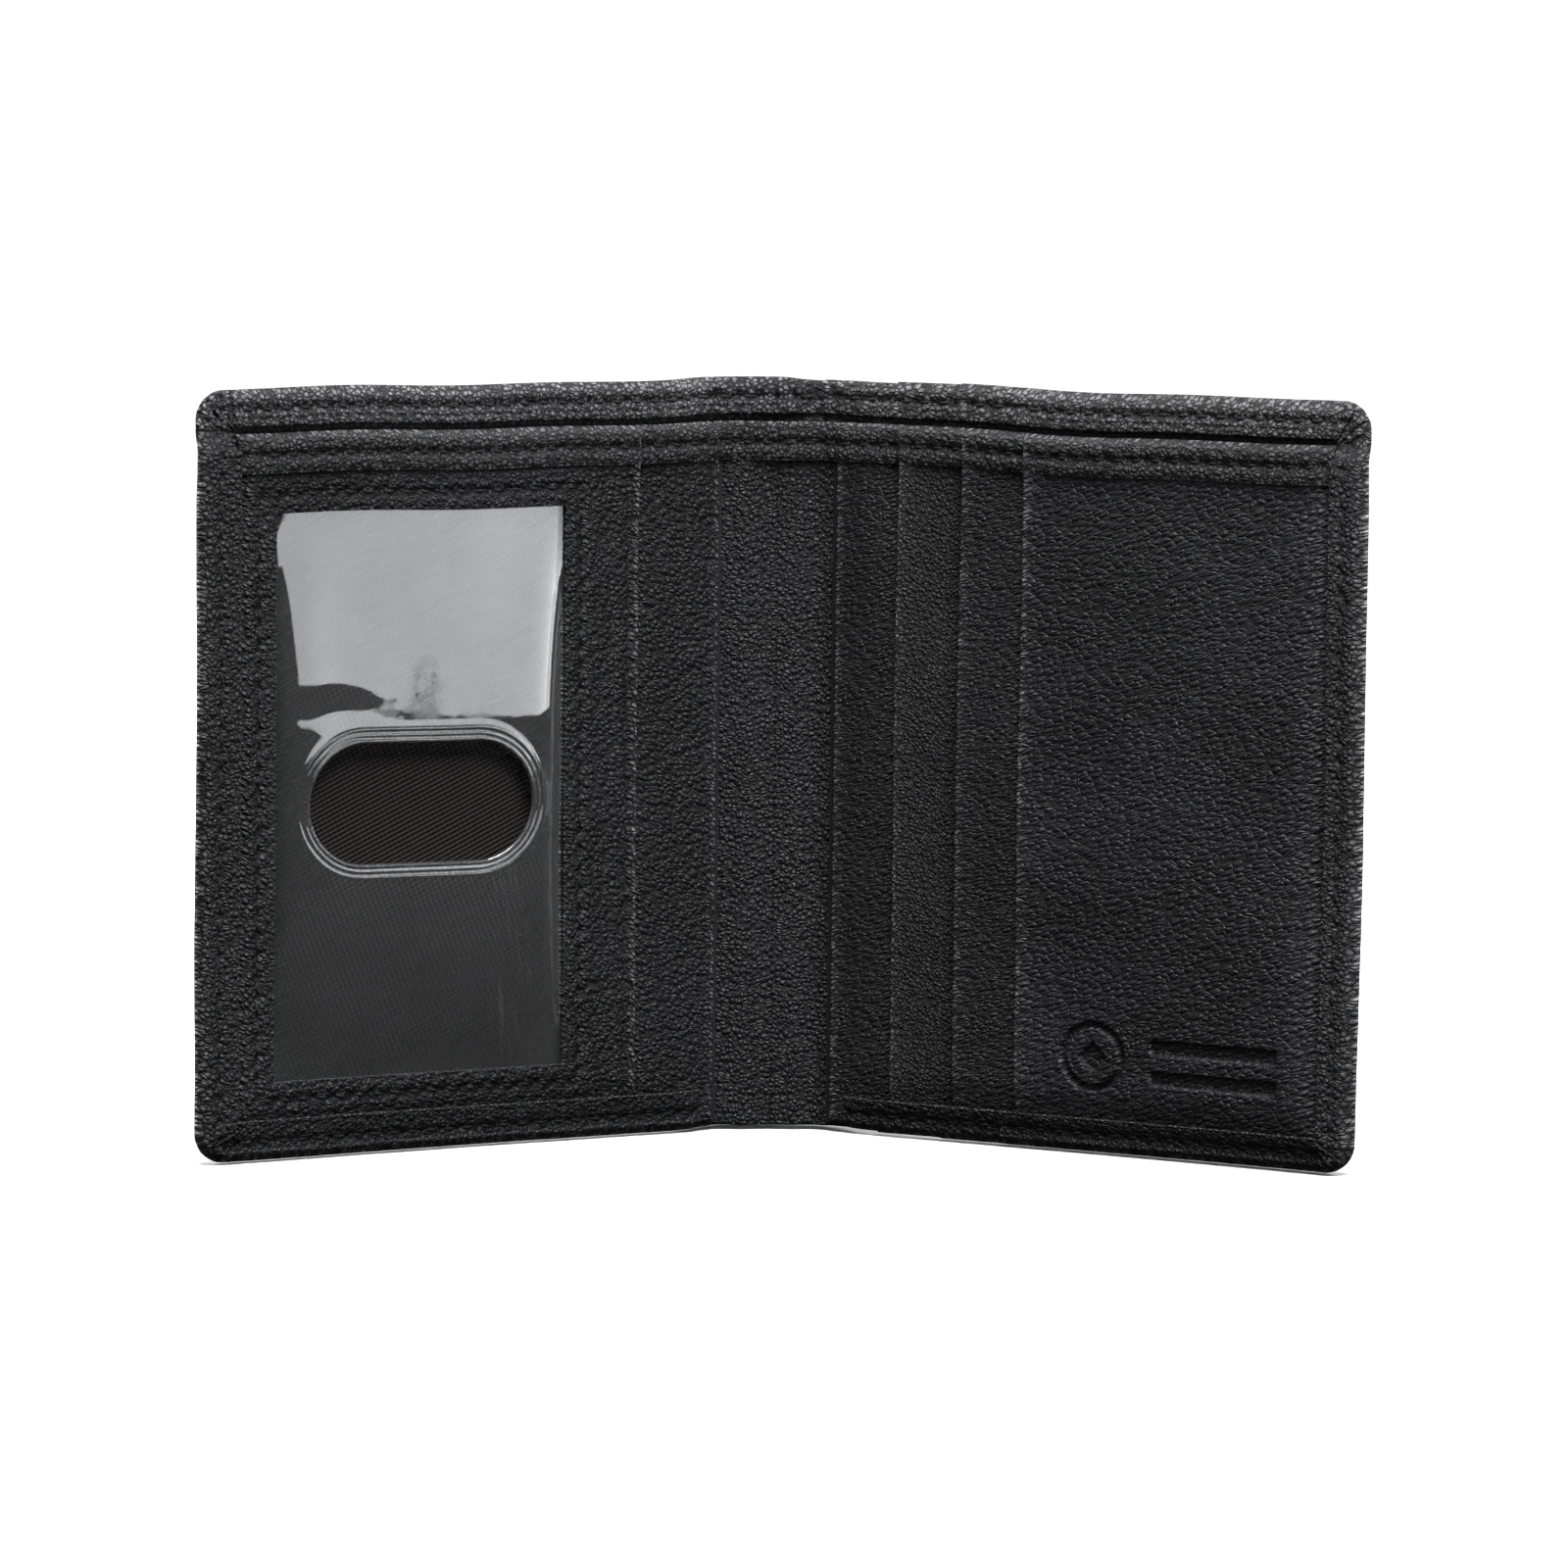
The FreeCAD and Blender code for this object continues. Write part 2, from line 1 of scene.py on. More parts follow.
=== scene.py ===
"""A leather bifold wallet, half open on its bottom edge.

Every piece is drawn flat, in millimetres: u outwards from its leaf's fold line, d through the leaf towards
the outside, and z up. place() then bends it about that fold and presses it together at its sewn edges."""
import json
import math

import bpy
import numpy as np
from mathutils import Matrix, Vector

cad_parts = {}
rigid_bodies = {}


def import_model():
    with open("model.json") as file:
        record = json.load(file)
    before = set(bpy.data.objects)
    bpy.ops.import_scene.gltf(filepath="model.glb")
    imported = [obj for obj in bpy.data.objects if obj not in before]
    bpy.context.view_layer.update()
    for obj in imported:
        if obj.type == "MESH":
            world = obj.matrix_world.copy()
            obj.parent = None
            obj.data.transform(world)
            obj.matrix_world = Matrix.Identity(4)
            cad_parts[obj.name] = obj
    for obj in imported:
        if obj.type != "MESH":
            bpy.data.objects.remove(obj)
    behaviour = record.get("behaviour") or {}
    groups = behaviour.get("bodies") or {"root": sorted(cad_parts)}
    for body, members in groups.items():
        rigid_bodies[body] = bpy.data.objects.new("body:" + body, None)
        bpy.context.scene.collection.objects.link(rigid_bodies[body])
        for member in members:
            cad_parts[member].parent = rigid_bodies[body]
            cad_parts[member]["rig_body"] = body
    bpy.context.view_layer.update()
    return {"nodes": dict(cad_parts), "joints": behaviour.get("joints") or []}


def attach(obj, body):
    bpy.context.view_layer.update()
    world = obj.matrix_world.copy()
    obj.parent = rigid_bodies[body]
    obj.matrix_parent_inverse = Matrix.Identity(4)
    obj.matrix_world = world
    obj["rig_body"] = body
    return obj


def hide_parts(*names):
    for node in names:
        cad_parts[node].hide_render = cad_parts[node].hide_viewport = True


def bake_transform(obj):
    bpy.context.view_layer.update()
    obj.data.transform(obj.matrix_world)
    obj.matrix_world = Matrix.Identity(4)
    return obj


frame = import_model()

MM = 0.001
UV_PER_MM = 0.01

# ---- places and sizes from the frame ----

fold = {j["name"]: j for j in frame["joints"]}["right_fold"]
HINGE_X = abs(fold["pos_m"][0]) / MM
HINGE_Y = fold["pos_m"][1] / MM
REST = math.radians(-fold["range_deg"][0])
MIDDLE = -HINGE_X
BODY = {-1: "left_leaf", 1: "right_leaf"}
LEFT, RIGHT = -1, 1


class Span:
    """A CAD node's extent in its own leaf: u0 to u1 from the fold, d0 to d1 through it, z0 to z1 up."""

    def __init__(self, node):
        points = np.array([v.co for v in frame["nodes"][node].data.vertices]) / MM
        body = frame["nodes"][node]["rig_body"]
        side = LEFT if body == "left_leaf" else RIGHT
        turn = 0.0 if body == "spine" else REST
        across = side * points[:, 0] - HINGE_X
        depth = points[:, 1] - HINGE_Y
        u = across * math.cos(turn) - depth * math.sin(turn)
        d = across * math.sin(turn) + depth * math.cos(turn)
        self.u0, self.u1 = u.min(), u.max()
        self.d0, self.d1 = d.min(), d.max()
        self.z0, self.z1 = points[:, 2].min(), points[:, 2].max()


SPAN = {name: Span(name) for name in frame["nodes"]}
HEIGHT = SPAN["left_cover"].z1
WIDTH = SPAN["left_cover"].u1
INNER_TOP = SPAN["left_top_binding"].z1
CORNER = 4.2  # radius of the free corners
CORNER_BAND = 8.5  # how far in from a free corner the grid stays fine
SEAM = 2.8  # from the outline to its row of stitches
BINDING_SEAM = 3.0  # from the top of the inner assembly to the binding's row
PITCH = 2.9  # from one stitch to the next
SIDE_HEM = {LEFT: 5.6, RIGHT: 4.6}
BOTTOM_HEM = {LEFT: 6.0, RIGHT: 5.2}
TOP_HEM = 5.3
COVER_T = 0.7
OUTER_ZONE = (-5.5, 5.5)  # from u to u, where the outer leather bends
INNER_ZONE = (-4.5, 1.3)  # the same for the gutter and the binding


def smooth(t):
    t = np.clip(t, 0, 1)
    return t * t * (3 - 2 * t)


def bell(x, centre, width):
    return np.exp(-(((x - centre) / width) ** 2))


def waves(seed, count, low, high):
    """A smooth random field of (u, z): a sum of sines with wavelengths from low to high mm, about +-1."""
    draw = np.random.default_rng(seed)
    angle = draw.uniform(0, math.tau, count)
    rate = math.tau / draw.uniform(low, high, count)
    phase = draw.uniform(0, math.tau, count)

    def field(u, z):
        total = 0
        for a, r, p in zip(angle, rate, phase):
            total = total + np.sin(r * (u * math.cos(a) + z * math.sin(a)) + p)
        return total / math.sqrt(count)

    return field


SAG = waves(11, 7, 35, 90)
RIPPLE = waves(21, 8, 9, 22)
PRESSED = {LEFT: 0.52, RIGHT: 0.45}  # thickness left at the very edge, as a share
PRESS_CENTRE = 0.8  # the depth that stays put when the edge is pressed
PRESS_REACH = 9  # how far in from the edge, and out from the fold, that takes to fade


def place(side, u, d, z, zone):
    """World points, in metres, of flat wallet points (u, d, z)."""
    edge = np.minimum(WIDTH - u, z)
    on_leaf = smooth(u / PRESS_REACH)
    signed = side * (u + HINGE_X)
    keep = PRESSED[side] + (1 - PRESSED[side]) * smooth((edge - 0.5) / PRESS_REACH)
    keep = 1 + (keep - 1) * on_leaf
    d = PRESS_CENTRE + (d - PRESS_CENTRE) * keep
    d = d + on_leaf * (0.32 * SAG(signed, z) + 0.05 * RIPPLE(signed, z))
    top = 0.22 * np.sin(signed / 13 + 1) + 0.12 * np.sin(signed / 5.1 + 2)
    z = z + top * (z / HEIGHT) * on_leaf
    turn = REST * smooth((u - zone[0]) / (zone[1] - zone[0]))
    x = HINGE_X + u * np.cos(turn) + d * np.sin(turn)
    y = HINGE_Y - u * np.sin(turn) + d * np.cos(turn)
    return np.stack([side * x, y, z], -1) * MM


# ---- mesh building ----

LINE_GAP = 0.018  # grid lines nearer than this are one
SNAP = 0.02  # a grid line this near to an exact place moves onto it
GATHERED = 7  # extra grid lines on each side of a place


def lines(low, high, step, near=()):
    """Grid lines from low to high, about step apart, gathered beside each (place, reach) of near."""
    found = list(np.linspace(low, high, max(2, math.ceil((high - low) / step) + 1)))
    for at, reach in near:
        for k in range(GATHERED):
            off = reach * (1 - math.cos(k * math.pi / 12))
            found += [at - off, at + off]
    found = sorted(x for x in found if low - 1e-9 <= x <= high + 1e-9)
    kept = [found[0]]
    for x in found[1:]:
        if x - kept[-1] > LINE_GAP:
            kept.append(x)
    kept[-1] = high
    exact = [at for at, _ in near if low < at < high]

    def snapped(x):
        closest = min(exact, key=lambda at: abs(at - x), default=x)
        return closest if abs(closest - x) < SNAP else x

    return np.array([snapped(x) for x in kept])


def dome(distance, reach):
    """0 at an edge, rising like a quarter circle to 1 at reach."""
    return np.sqrt(np.clip(1 - (1 - np.clip(distance / reach, 0, 1)) ** 2, 0, 1))


def new_object(name, data):
    item = bpy.data.objects.new(name, data)
    bpy.context.scene.collection.objects.link(item)
    return item


def beyond(box, u, z):
    """How far points lie outside the rectangle (u0, u1, z0, z1), less than 0 inside it."""
    return np.maximum(np.maximum(box[0] - u, u - box[1]), np.maximum(box[2] - z, z - box[3]))


class Skin:
    """Collects grids of flat points into one closed mesh."""

    def __init__(self, side, zone=OUTER_ZONE):
        self.side, self.zone = side, zone
        self.points, self.wear, self.faces, self.caps, self.count = [], [], [], [], 0

    def add(self, u, d, z, wear=0.0):
        """Adds a grid of points, with 0 to 1 of pale paint: rubbed wear and painted highlights."""
        u, d, z, wear = np.broadcast_arrays(u, d, z, wear)
        index = self.count + np.arange(u.size).reshape(u.shape)
        self.points.append(np.stack([u.ravel(), d.ravel(), z.ravel()], -1))
        self.wear.append(wear.ravel())
        self.count += u.size
        return index

    def quads(self, index, keep=None, flip=False):
        a, b = index[:-1, :-1], index[1:, :-1]
        c, d = index[1:, 1:], index[:-1, 1:]
        loops = np.stack([d, c, b, a] if flip else [a, b, c, d], -1)
        loops = loops[keep] if keep is not None else loops.reshape(-1, 4)
        self.faces.append(loops)

    def strip(self, first, second, flip=False):
        """A flat cap between two rows of points, with a sharp edge all round."""
        self.quads(np.stack([first, second]), flip=flip)
        self.caps.append(len(self.faces) - 1)

    def build(self, name, material):
        flat = np.concatenate(self.points)
        loops = np.concatenate(self.faces)
        rounded = np.concatenate([np.full(len(f), i not in self.caps) for i, f in enumerate(self.faces)])
        ok = (loops[:, 0] != loops[:, 2]) & (loops[:, 1] != loops[:, 3])
        loops, rounded = loops[ok], rounded[ok]
        if self.side == LEFT:
            loops = loops[:, ::-1]
        world = place(self.side, flat[:, 0], flat[:, 1], flat[:, 2], self.zone)
        faces, soft = [], []
        for quad, is_round in zip(loops.tolist(), rounded.tolist()):
            ring = [q for i, q in enumerate(quad) if q != quad[i - 1]]
            if len(ring) > 2:
                faces.append(ring)
                soft.append(is_round)
        mesh = bpy.data.meshes.new(name)
        mesh.from_pydata(world.tolist(), [], faces)
        layer = mesh.uv_layers.new(name="flat")
        corner = np.zeros(len(mesh.loops), np.int32)
        mesh.loops.foreach_get("vertex_index", corner)
        uv = np.stack([self.side * (flat[:, 0] + HINGE_X), flat[:, 2]], -1) * UV_PER_MM
        layer.data.foreach_set("uv", uv[corner].ravel())
        # this attribute carries rubbed wear and painted highlights, both turned into a pale tone by
        # leather()
        rubbed = mesh.attributes.new("wear", "FLOAT", "POINT")
        rubbed.data.foreach_set("value", np.concatenate(self.wear).astype(np.float32))
        mesh.polygons.foreach_set("use_smooth", soft)
        mesh.materials.append(material)
        mesh.update()
        return new_object(name, mesh)


def blend_at_fold(piece, side, zone):
    """Bakes the piece's transform into its mesh, which keeps the bend it was built with at rest."""
    start, end = place(side, np.array(zone), np.zeros(2), np.zeros(2), zone)
    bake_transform(piece)


def finish_piece(piece, side, zone, nodes):
    """zone None: the piece lies on one leaf and only rides on it."""
    if zone is None:
        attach(piece, BODY[side])
    else:
        blend_at_fold(piece, side, zone)
    if nodes:
        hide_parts(*nodes)
    return piece


HOLE_REACH = 0.15  # reach of the rounding round a hole
# how pale a pocket's folded mouth is painted: a painted highlight of the lit lip
MOUTH_LIP_HIGHLIGHT = 0.75


def plate(name, side, u_lines, z_lines, front, back, material, nodes, edge_u=(0.4, 0.4), edge_z=0.3,
          zone=None, hole=None, round_far=False):
    """A closed sheet between the depths front(u, z) and back(u, z) with rounded edges. edge_u are the
    reaches of the rounding at the near and far edges, where a near reach of 0 leaves a square cut; hole is
    (u0, u1, z0, z1), and round_far rounds the two far corners."""
    u, z = np.meshgrid(u_lines, z_lines, indexing="ij")
    swell = dome(u_lines[-1] - u, edge_u[1])
    swell = swell * dome(z - z_lines[0], edge_z) * dome(z_lines[-1] - z, edge_z)
    if edge_u[0]:
        swell = swell * dome(u - u_lines[0], edge_u[0])
    if round_far:
        u, z, _ = rounded_corners(u, z, u_lines[-1], z_lines[0], z_lines[-1])
    face, rear = front(u, z) + 0 * u, back(u, z) + 0 * u
    middle = (face + rear) / 2
    keep = None
    if hole:
        swell = swell * dome(beyond(hole, u, z), HOLE_REACH)
        keep = beyond(hole, (u[:-1, :-1] + u[1:, 1:]) / 2, (z[:-1, :-1] + z[1:, 1:]) / 2) >= 0
    skin = Skin(side, zone or OUTER_ZONE)
    # painted highlight: a pale line along the folded mouth, as on a lit lip
    rubbed = bell(u - u_lines[0], 0.3, 0.4) * (MOUTH_LIP_HIGHLIGHT if edge_u[0] else 0)
    near = skin.add(u, middle + (face - middle) * swell, z, rubbed)
    far = skin.add(u, middle + (rear - middle) * swell, z)
    far = np.where(swell < 1e-6, near, far)  # both faces share their points where they meet
    skin.quads(near, keep)
    skin.quads(far, keep, flip=True)
    if not edge_u[0]:
        skin.strip(near[0], far[0], flip=True)
    return finish_piece(skin.build(name, material), side, zone, nodes)


def seam_relief(off, along, depth=0.2, puff=0.16):
    """How far leather stands up beside a seam: off is the distance from it, along the place on it."""
    beat = np.cos(math.tau * along / PITCH)
    valley = -2 * depth * bell(off, 0, 0.45) * (0.6 - 0.4 * beat)
    shoulders = puff * bell(np.abs(off), 1.25, 0.75) * (1 + 0.45 * beat)
    return valley + shoulders


# ---- turned-edge outer leather ----


def rounded_corners(u, z, far, low, high):
    """Bends a rectangular grid's two far corners round, and gives each point's distance to the edge."""
    edge = np.minimum(np.minimum(z - low, high - z), far - u)
    u2, z2 = u.copy(), z.copy()
    for sign, base in ((-1, low + CORNER), (1, high - CORNER)):
        x = np.clip((u - (far - CORNER)) / CORNER, 0, 1)
        y = np.clip(sign * (z - base) / CORNER, 0, 1)
        inside = (x > 0) & (y > 0)
        biggest = np.maximum(x, y)
        scale = np.where(inside, biggest / np.maximum(np.hypot(x, y), 1e-9), 1)
        u2 = np.where(inside, far - CORNER + x * scale * CORNER, u2)
        z2 = np.where(inside, base + sign * y * scale * CORNER, z2)
        edge = np.where(inside, CORNER * (1 - biggest), edge)
    return u2, z2, edge


def inset(value, low, high, by, band=4.2):
    """Moves points within band of low or high inwards, by the full distance at the very edge."""
    value = np.where(value < low + band, low + band - (low + band - value) * (band - by) / band, value)
    return np.where(value > high - band, high - band + (value - high + band) * (band - by) / band, value)


RIM = 1.7  # reach of the rounding where the outer leather turns over
SHELL_STEP = 0.65  # the outer leather's grid, and the finer one near its corners and the spine
SHELL_FINE = 0.34
MOUTH_REACH = 0.5  # reach of the rounding at an outside pocket's mouth
FAR_AWAY = 1e3  # for an edge that a sheet hasn't got


def shell_grid(near, far, raw_u, raw_low, raw_high, free, hem_start):
    """The outer leather's grid, close together where it turns over and beside the hems' cut edges."""
    gather_u = [(near, 0.5)]
    if free:
        gather_u += [(raw_u, 0.3), (far - SEAM, 0.9), (far, RIM)]
    if hem_start is not None:
        gather_u.append((hem_start, 0.3))
    gather_z = [(0, RIM), (HEIGHT, RIM), (raw_low, 0.3), (raw_high, 0.3), (SEAM, 0.9), (HEIGHT - SEAM, 0.9)]
    u_lines, z_lines = lines(near, far, SHELL_STEP, gather_u), lines(0, HEIGHT, SHELL_STEP, gather_z)
    if near < 0:
        u_lines = np.union1d(u_lines, np.arange(near + SHELL_FINE, 4, SHELL_FINE))
    if free:
        u_lines = np.union1d(u_lines, np.arange(far - CORNER_BAND, far - RIM, SHELL_FINE))
        z_lines = np.union1d(z_lines, np.arange(RIM, CORNER_BAND, SHELL_FINE))
        z_lines = np.union1d(z_lines, np.arange(HEIGHT - CORNER_BAND, HEIGHT - RIM, SHELL_FINE))
    return np.meshgrid(u_lines, z_lines, indexing="ij")


def shell(name, side, span, outer, hem, material, nodes, free=True, ride=False, margin=lambda u: 0,
          mouth=False, hem_start=None):
    """Outer leather with its edges turned in. outer and hem are the depths of the outside face and of the
    turned edges' visible face, and margin lets one piece nest inside the next. free: the far edge is a
    turned edge with round corners. mouth: the near edge is a rounded pocket mouth. hem_start: the bottom
    hem begins there."""
    near, far = span
    raw_u = far - SIDE_HEM[side] if free else far + FAR_AWAY
    raw_low, raw_high = BOTTOM_HEM[side], HEIGHT - TOP_HEM
    u, z = shell_grid(near, far, raw_u, raw_low, raw_high, free, hem_start)
    raw = np.maximum(np.maximum(raw_low - z, z - raw_high), u - raw_u)
    if hem_start is not None:
        raw = np.where(z < HEIGHT / 2, np.minimum(raw, u - hem_start), raw)
    if free:
        u_out, z_out, edge = rounded_corners(u, z, far, 0, HEIGHT)
        u_in = inset(u_out, -FAR_AWAY, far, COVER_T)
    else:
        u_out, z_out, edge = u, z, np.minimum(z, HEIGHT - z)
        u_in = u_out
    z_in = inset(z_out, 0, HEIGHT, COVER_T + margin(u))
    z_out = inset(z_out, 0, HEIGHT, margin(u))
    outside, inside = outer(u_out, z_out), hem(u_out, z_out)
    middle = (outside + inside) / 2
    turn = dome(edge, RIM + 1.6 * smooth((z_out - (HEIGHT - 16)) / 10))
    lip = dome(u - near, MOUTH_REACH) if mouth else np.ones_like(u)
    thin = COVER_T / 2 * (1 - lip)
    skin = Skin(side)
    d_out = middle + (outside - middle) * turn - thin * turn
    d_in = middle + (outside - COVER_T - middle) * turn + thin * turn
    cut = COVER_T / 2 * (1 - dome(raw, 0.25))
    d_hem = middle + (inside - middle) * turn + cut + thin * turn
    d_back = middle + (inside + COVER_T - middle) * turn - cut - thin * turn
    rubbed = 0.8 * bell(edge, 0.2, 0.7) + (0.8 * bell(u, near, 0.4) if mouth else 0)
    # painted highlight: the band of the top hem is painted paler, as if lit from above
    rubbed = rubbed + 0.6 * smooth((z - (HEIGHT - TOP_HEM - 1)) / 2)
    cut_edge = 0.5 * bell(raw, 0, 0.16)
    rows_out = skin.add(u_out, d_out, z_out, np.clip(rubbed, 0, 1))
    rows_in = skin.add(u_in, d_in, z_in)
    rows_hem = skin.add(u_out, d_hem, z_out, np.clip(rubbed + cut_edge, 0, 1))
    near_edge = edge < CORNER
    rows_back = skin.add(np.where(near_edge, u_in, u_out), d_back, np.where(near_edge, z_in, z_out))
    on_edge = edge < 1e-6
    rows_hem = np.where(on_edge, rows_out, rows_hem)
    rows_back = np.where(on_edge, rows_in, rows_back)
    rows_back = np.where(np.abs(raw) < 1e-6, rows_hem, rows_back)
    hemmed = (raw[:-1, :-1] + raw[1:, 1:]) / 2 > 0
    skin.quads(rows_out, flip=True)
    skin.quads(rows_in)
    skin.quads(rows_hem, hemmed)
    skin.quads(rows_back, hemmed, flip=True)
    ends = [(0, False)] if free else [(0, False), (-1, True)]
    for row, flip in ends:
        skin.strip(rows_out[row], rows_in[row], flip=flip)
        for k in np.flatnonzero(hemmed[row]):
            skin.strip(rows_back[row, k:k + 2], rows_hem[row, k:k + 2], flip=flip)
    if hem_start is not None:
        bare = int(np.searchsorted(u[:, 0], hem_start - 1e-6))
        skin.strip(rows_out[:bare + 1, 0], rows_in[:bare + 1, 0], flip=True)
    zone = None if ride else OUTER_ZONE
    return finish_piece(skin.build(name, material), side, zone, nodes)


def gathers(side, u, z):
    """Upright wrinkles where the leather turns at the spine."""
    s = side * (u + HINGE_X)
    ripple = 0.6 * np.sin(2.5 * s + 1.3 * np.sin(z / 2.1)) + 0.4 * np.sin(4.1 * s + 0.7)
    return 0.15 * ripple * smooth((11 - np.abs(s)) / 4)


def perimeter_relief(u, z):
    """The seam round the outline, as raised leather."""
    edge = np.minimum(np.minimum(z, HEIGHT - z), WIDTH - u)
    return seam_relief(edge - SEAM, u + z) + 0.18 * bell(edge, 1.2, 0.8)


def spine_swell(u, leaf_depth, spine_depth):
    """The outer leather stands off the spine and comes back to the leaf."""
    return leaf_depth + (spine_depth - leaf_depth) * smooth((9.5 - u) / (9.5 - MIDDLE))


def cover_shift(box, u):
    """How much deeper a sheet of the outer cover lies near the spine: they all follow the lining."""
    return spine_swell(u, 0.0, SPINE_LINING.d0 - LINING.d0) if box.d0 > LINING.d0 - 0.5 else 0.0


PLEATS = ((22, 0.5), (39, 0.85), (58, 0.8), (75, 0.45))  # degrees round the corner, and height


def pleats(u, z, side):
    """Gathered folds of the turned leather at the two free corners: sharp creases between rounded folds."""
    total = 0
    for top in (0, 1):
        x = u - (WIDTH - SIDE_HEM[side] - 0.8)
        y = (z - (HEIGHT - TOP_HEM - 1.0)) if top else (BOTTOM_HEM[side] - 0.6 - z)
        reach = np.hypot(x, y)
        angle = np.degrees(np.arctan2(y, x)) + 4 * np.sin(reach / 1.3 + side)
        here = smooth(reach / 1.2) * smooth((8.2 - reach) / 1.5) * (x > -0.5) * (y > -0.5)
        for at, rise in PLEATS:
            past = angle - at - 4 * side * (1 - 2 * top)
            total = total + rise * here * np.where(past > 0, np.exp(-past / 7), 0.0) * smooth(past / 1.5 + 1)
            total = total - 0.45 * rise * here * bell(past, -1.5, 2.2)
    return total


COVER_DEPTH = SPAN["left_cover"].d1
LINING = SPAN["left_compartment_lining"]
SPINE_LINING = SPAN["spine_lining"]
HEM_DEPTH = {LEFT: SPAN["left_cover"].d0, RIGHT: SPAN["exterior_front_panel"].d0}
HEM_STAND = 0.75  # how far the top hem stands off the lining
LIP_DEPTH = LINING.d0 - HEM_STAND
SPINE_LIP_DEPTH = SPINE_LINING.d0 - HEM_STAND
SPINE_DEPTH = SPAN["spine_cover"].d1 - 0.4


def hem_face(side, offset=0.0):
    """Depth of the turned edges' visible face: over the inner assembly, then over the lining at the top."""

    def depth(u, z):
        lip = spine_swell(u, LIP_DEPTH, SPINE_LIP_DEPTH) + 0.22 * bell(HEIGHT - z, 4.1, 0.25)
        near_spine = spine_swell(u, HEM_DEPTH[side] + 1.2 * smooth((6 - u) / 9), 2.5)
        low = np.where(u < 8, near_spine, HEM_DEPTH[side])
        rise = smooth((z - (INNER_TOP - 2.6)) / 3.0)
        lifted = 0.4 * smooth((HEIGHT - SEAM + 0.3 - z) / (TOP_HEM - SEAM)) * rise
        d = low + (lip - low) * rise + offset - lifted
        return d - perimeter_relief(u, z) - pleats(u, z, side) - gathers(side, u, z)

    return depth


def outer_face(leaf_depth, spine_depth=None):
    """Depth of the outside face, which stands off the spine where spine_depth is given."""

    def depth(u, z):
        d = leaf_depth if spine_depth is None else spine_swell(u, leaf_depth, spine_depth)
        return d + perimeter_relief(u, z)

    return depth


# ---- materials ----


class Nodes:
    """Short ways to add shader nodes and links."""

    def __init__(self, name):
        self.material = bpy.data.materials.new(name)
        self.material.use_nodes = True
        self.tree = self.material.node_tree
        self.tree.nodes.clear()
        self.shader = self.tree.nodes.new("ShaderNodeBsdfPrincipled")
        output = self.tree.nodes.new("ShaderNodeOutputMaterial")
        self.tree.links.new(self.shader.outputs[0], output.inputs["Surface"])

    def fill(self, node, inputs):
        """Sets a node's inputs, each to a number, a colour or another node's socket."""
        for key, value in inputs.items():
            if isinstance(value, bpy.types.NodeSocket):
                self.tree.links.new(value, node.inputs[key])
            elif value is not None:
                node.inputs[key].default_value = value

    def node(self, kind, inputs=None, **values):
        made = self.tree.nodes.new(kind)
        for key, value in values.items():
            setattr(made, key, value)
        self.fill(made, inputs or {})
        return made

    def flat(self, turn=0, stretch=(1, 1)):
        """Millimetres on the flat piece along and across a direction turned by degrees, times stretch."""
        source = self.node("ShaderNodeUVMap", uv_map="flat").outputs[0]
        scale = (UV_PER_MM / stretch[0], UV_PER_MM / stretch[1], UV_PER_MM)
        inputs = {"Rotation": (0, 0, math.radians(turn)), "Scale": scale, "Vector": source}
        return self.node("ShaderNodeMapping", inputs, vector_type="TEXTURE").outputs[0]

    def noise(self, vector, scale, detail=2.0, rough=0.5, out="Fac"):
        inputs = {"Scale": scale, "Detail": detail, "Roughness": rough, "Vector": vector}
        return self.node("ShaderNodeTexNoise", inputs).outputs[out]

    def cells(self, vector, scale, feature):
        inputs = {"Scale": scale, "Vector": vector}
        return self.node("ShaderNodeTexVoronoi", inputs, feature=feature).outputs["Distance"]

    def math(self, operation, *values):
        return self.node("ShaderNodeMath", dict(enumerate(values)), operation=operation).outputs[0]

    def vectors(self, operation, a, b=None, scale=None, out="Vector"):
        inputs = {0: a, 1: b, "Scale": scale}
        return self.node("ShaderNodeVectorMath", inputs, operation=operation).outputs[out]

    def spread(self, value, low, high, to_low=0.0, to_high=1.0):
        inputs = {"From Min": low, "From Max": high, "To Min": to_low, "To Max": to_high, "Value": value}
        return self.node("ShaderNodeMapRange", inputs, interpolation_type="SMOOTHSTEP").outputs[0]

    def colour(self, factor, low, high):
        """Mixes two colours, or a socket's colour and another."""
        inputs = {"A": (*low, 1) if isinstance(low, tuple) else low, "B": (*high, 1), "Factor": factor}
        return self.node("ShaderNodeMix", inputs, data_type="RGBA").outputs["Result"]

    def warp(self, vector, scale, amount):
        """Pushes coordinates about by noise, so that cells aren't regular."""
        cloud = self.noise(vector, scale, 2.0, out="Color")
        centred = self.vectors("SUBTRACT", cloud, (0.5, 0.5, 0.5))
        return self.vectors("ADD", vector, self.vectors("SCALE", centred, scale=amount))

    def surface(self, colour, roughness, height, depth, **values):
        """Fills in the shader. depth is the bump's, in millimetres; values have _ for each space."""
        named = {key.replace("_", " "): value for key, value in values.items()}
        self.fill(self.shader, {"Base Color": colour, "Roughness": roughness, **named})
        bump = self.node("ShaderNodeBump", {"Strength": 1.0, "Distance": depth * MM, "Height": height})
        self.fill(self.shader, {"Normal": bump.outputs[0]})
        return self.material


# LEATHER_BLACK is painted shade in the creases and LEATHER_CROWN a painted highlight on the crowns; the
# third colour is the pale tone of rubbed wear and painted highlights
LEATHER_BLACK = (0.0012, 0.0012, 0.0015)
LEATHER_CROWN = (0.009, 0.009, 0.011)
LEATHER_WEAR_AND_HIGHLIGHT = (0.17, 0.168, 0.175)


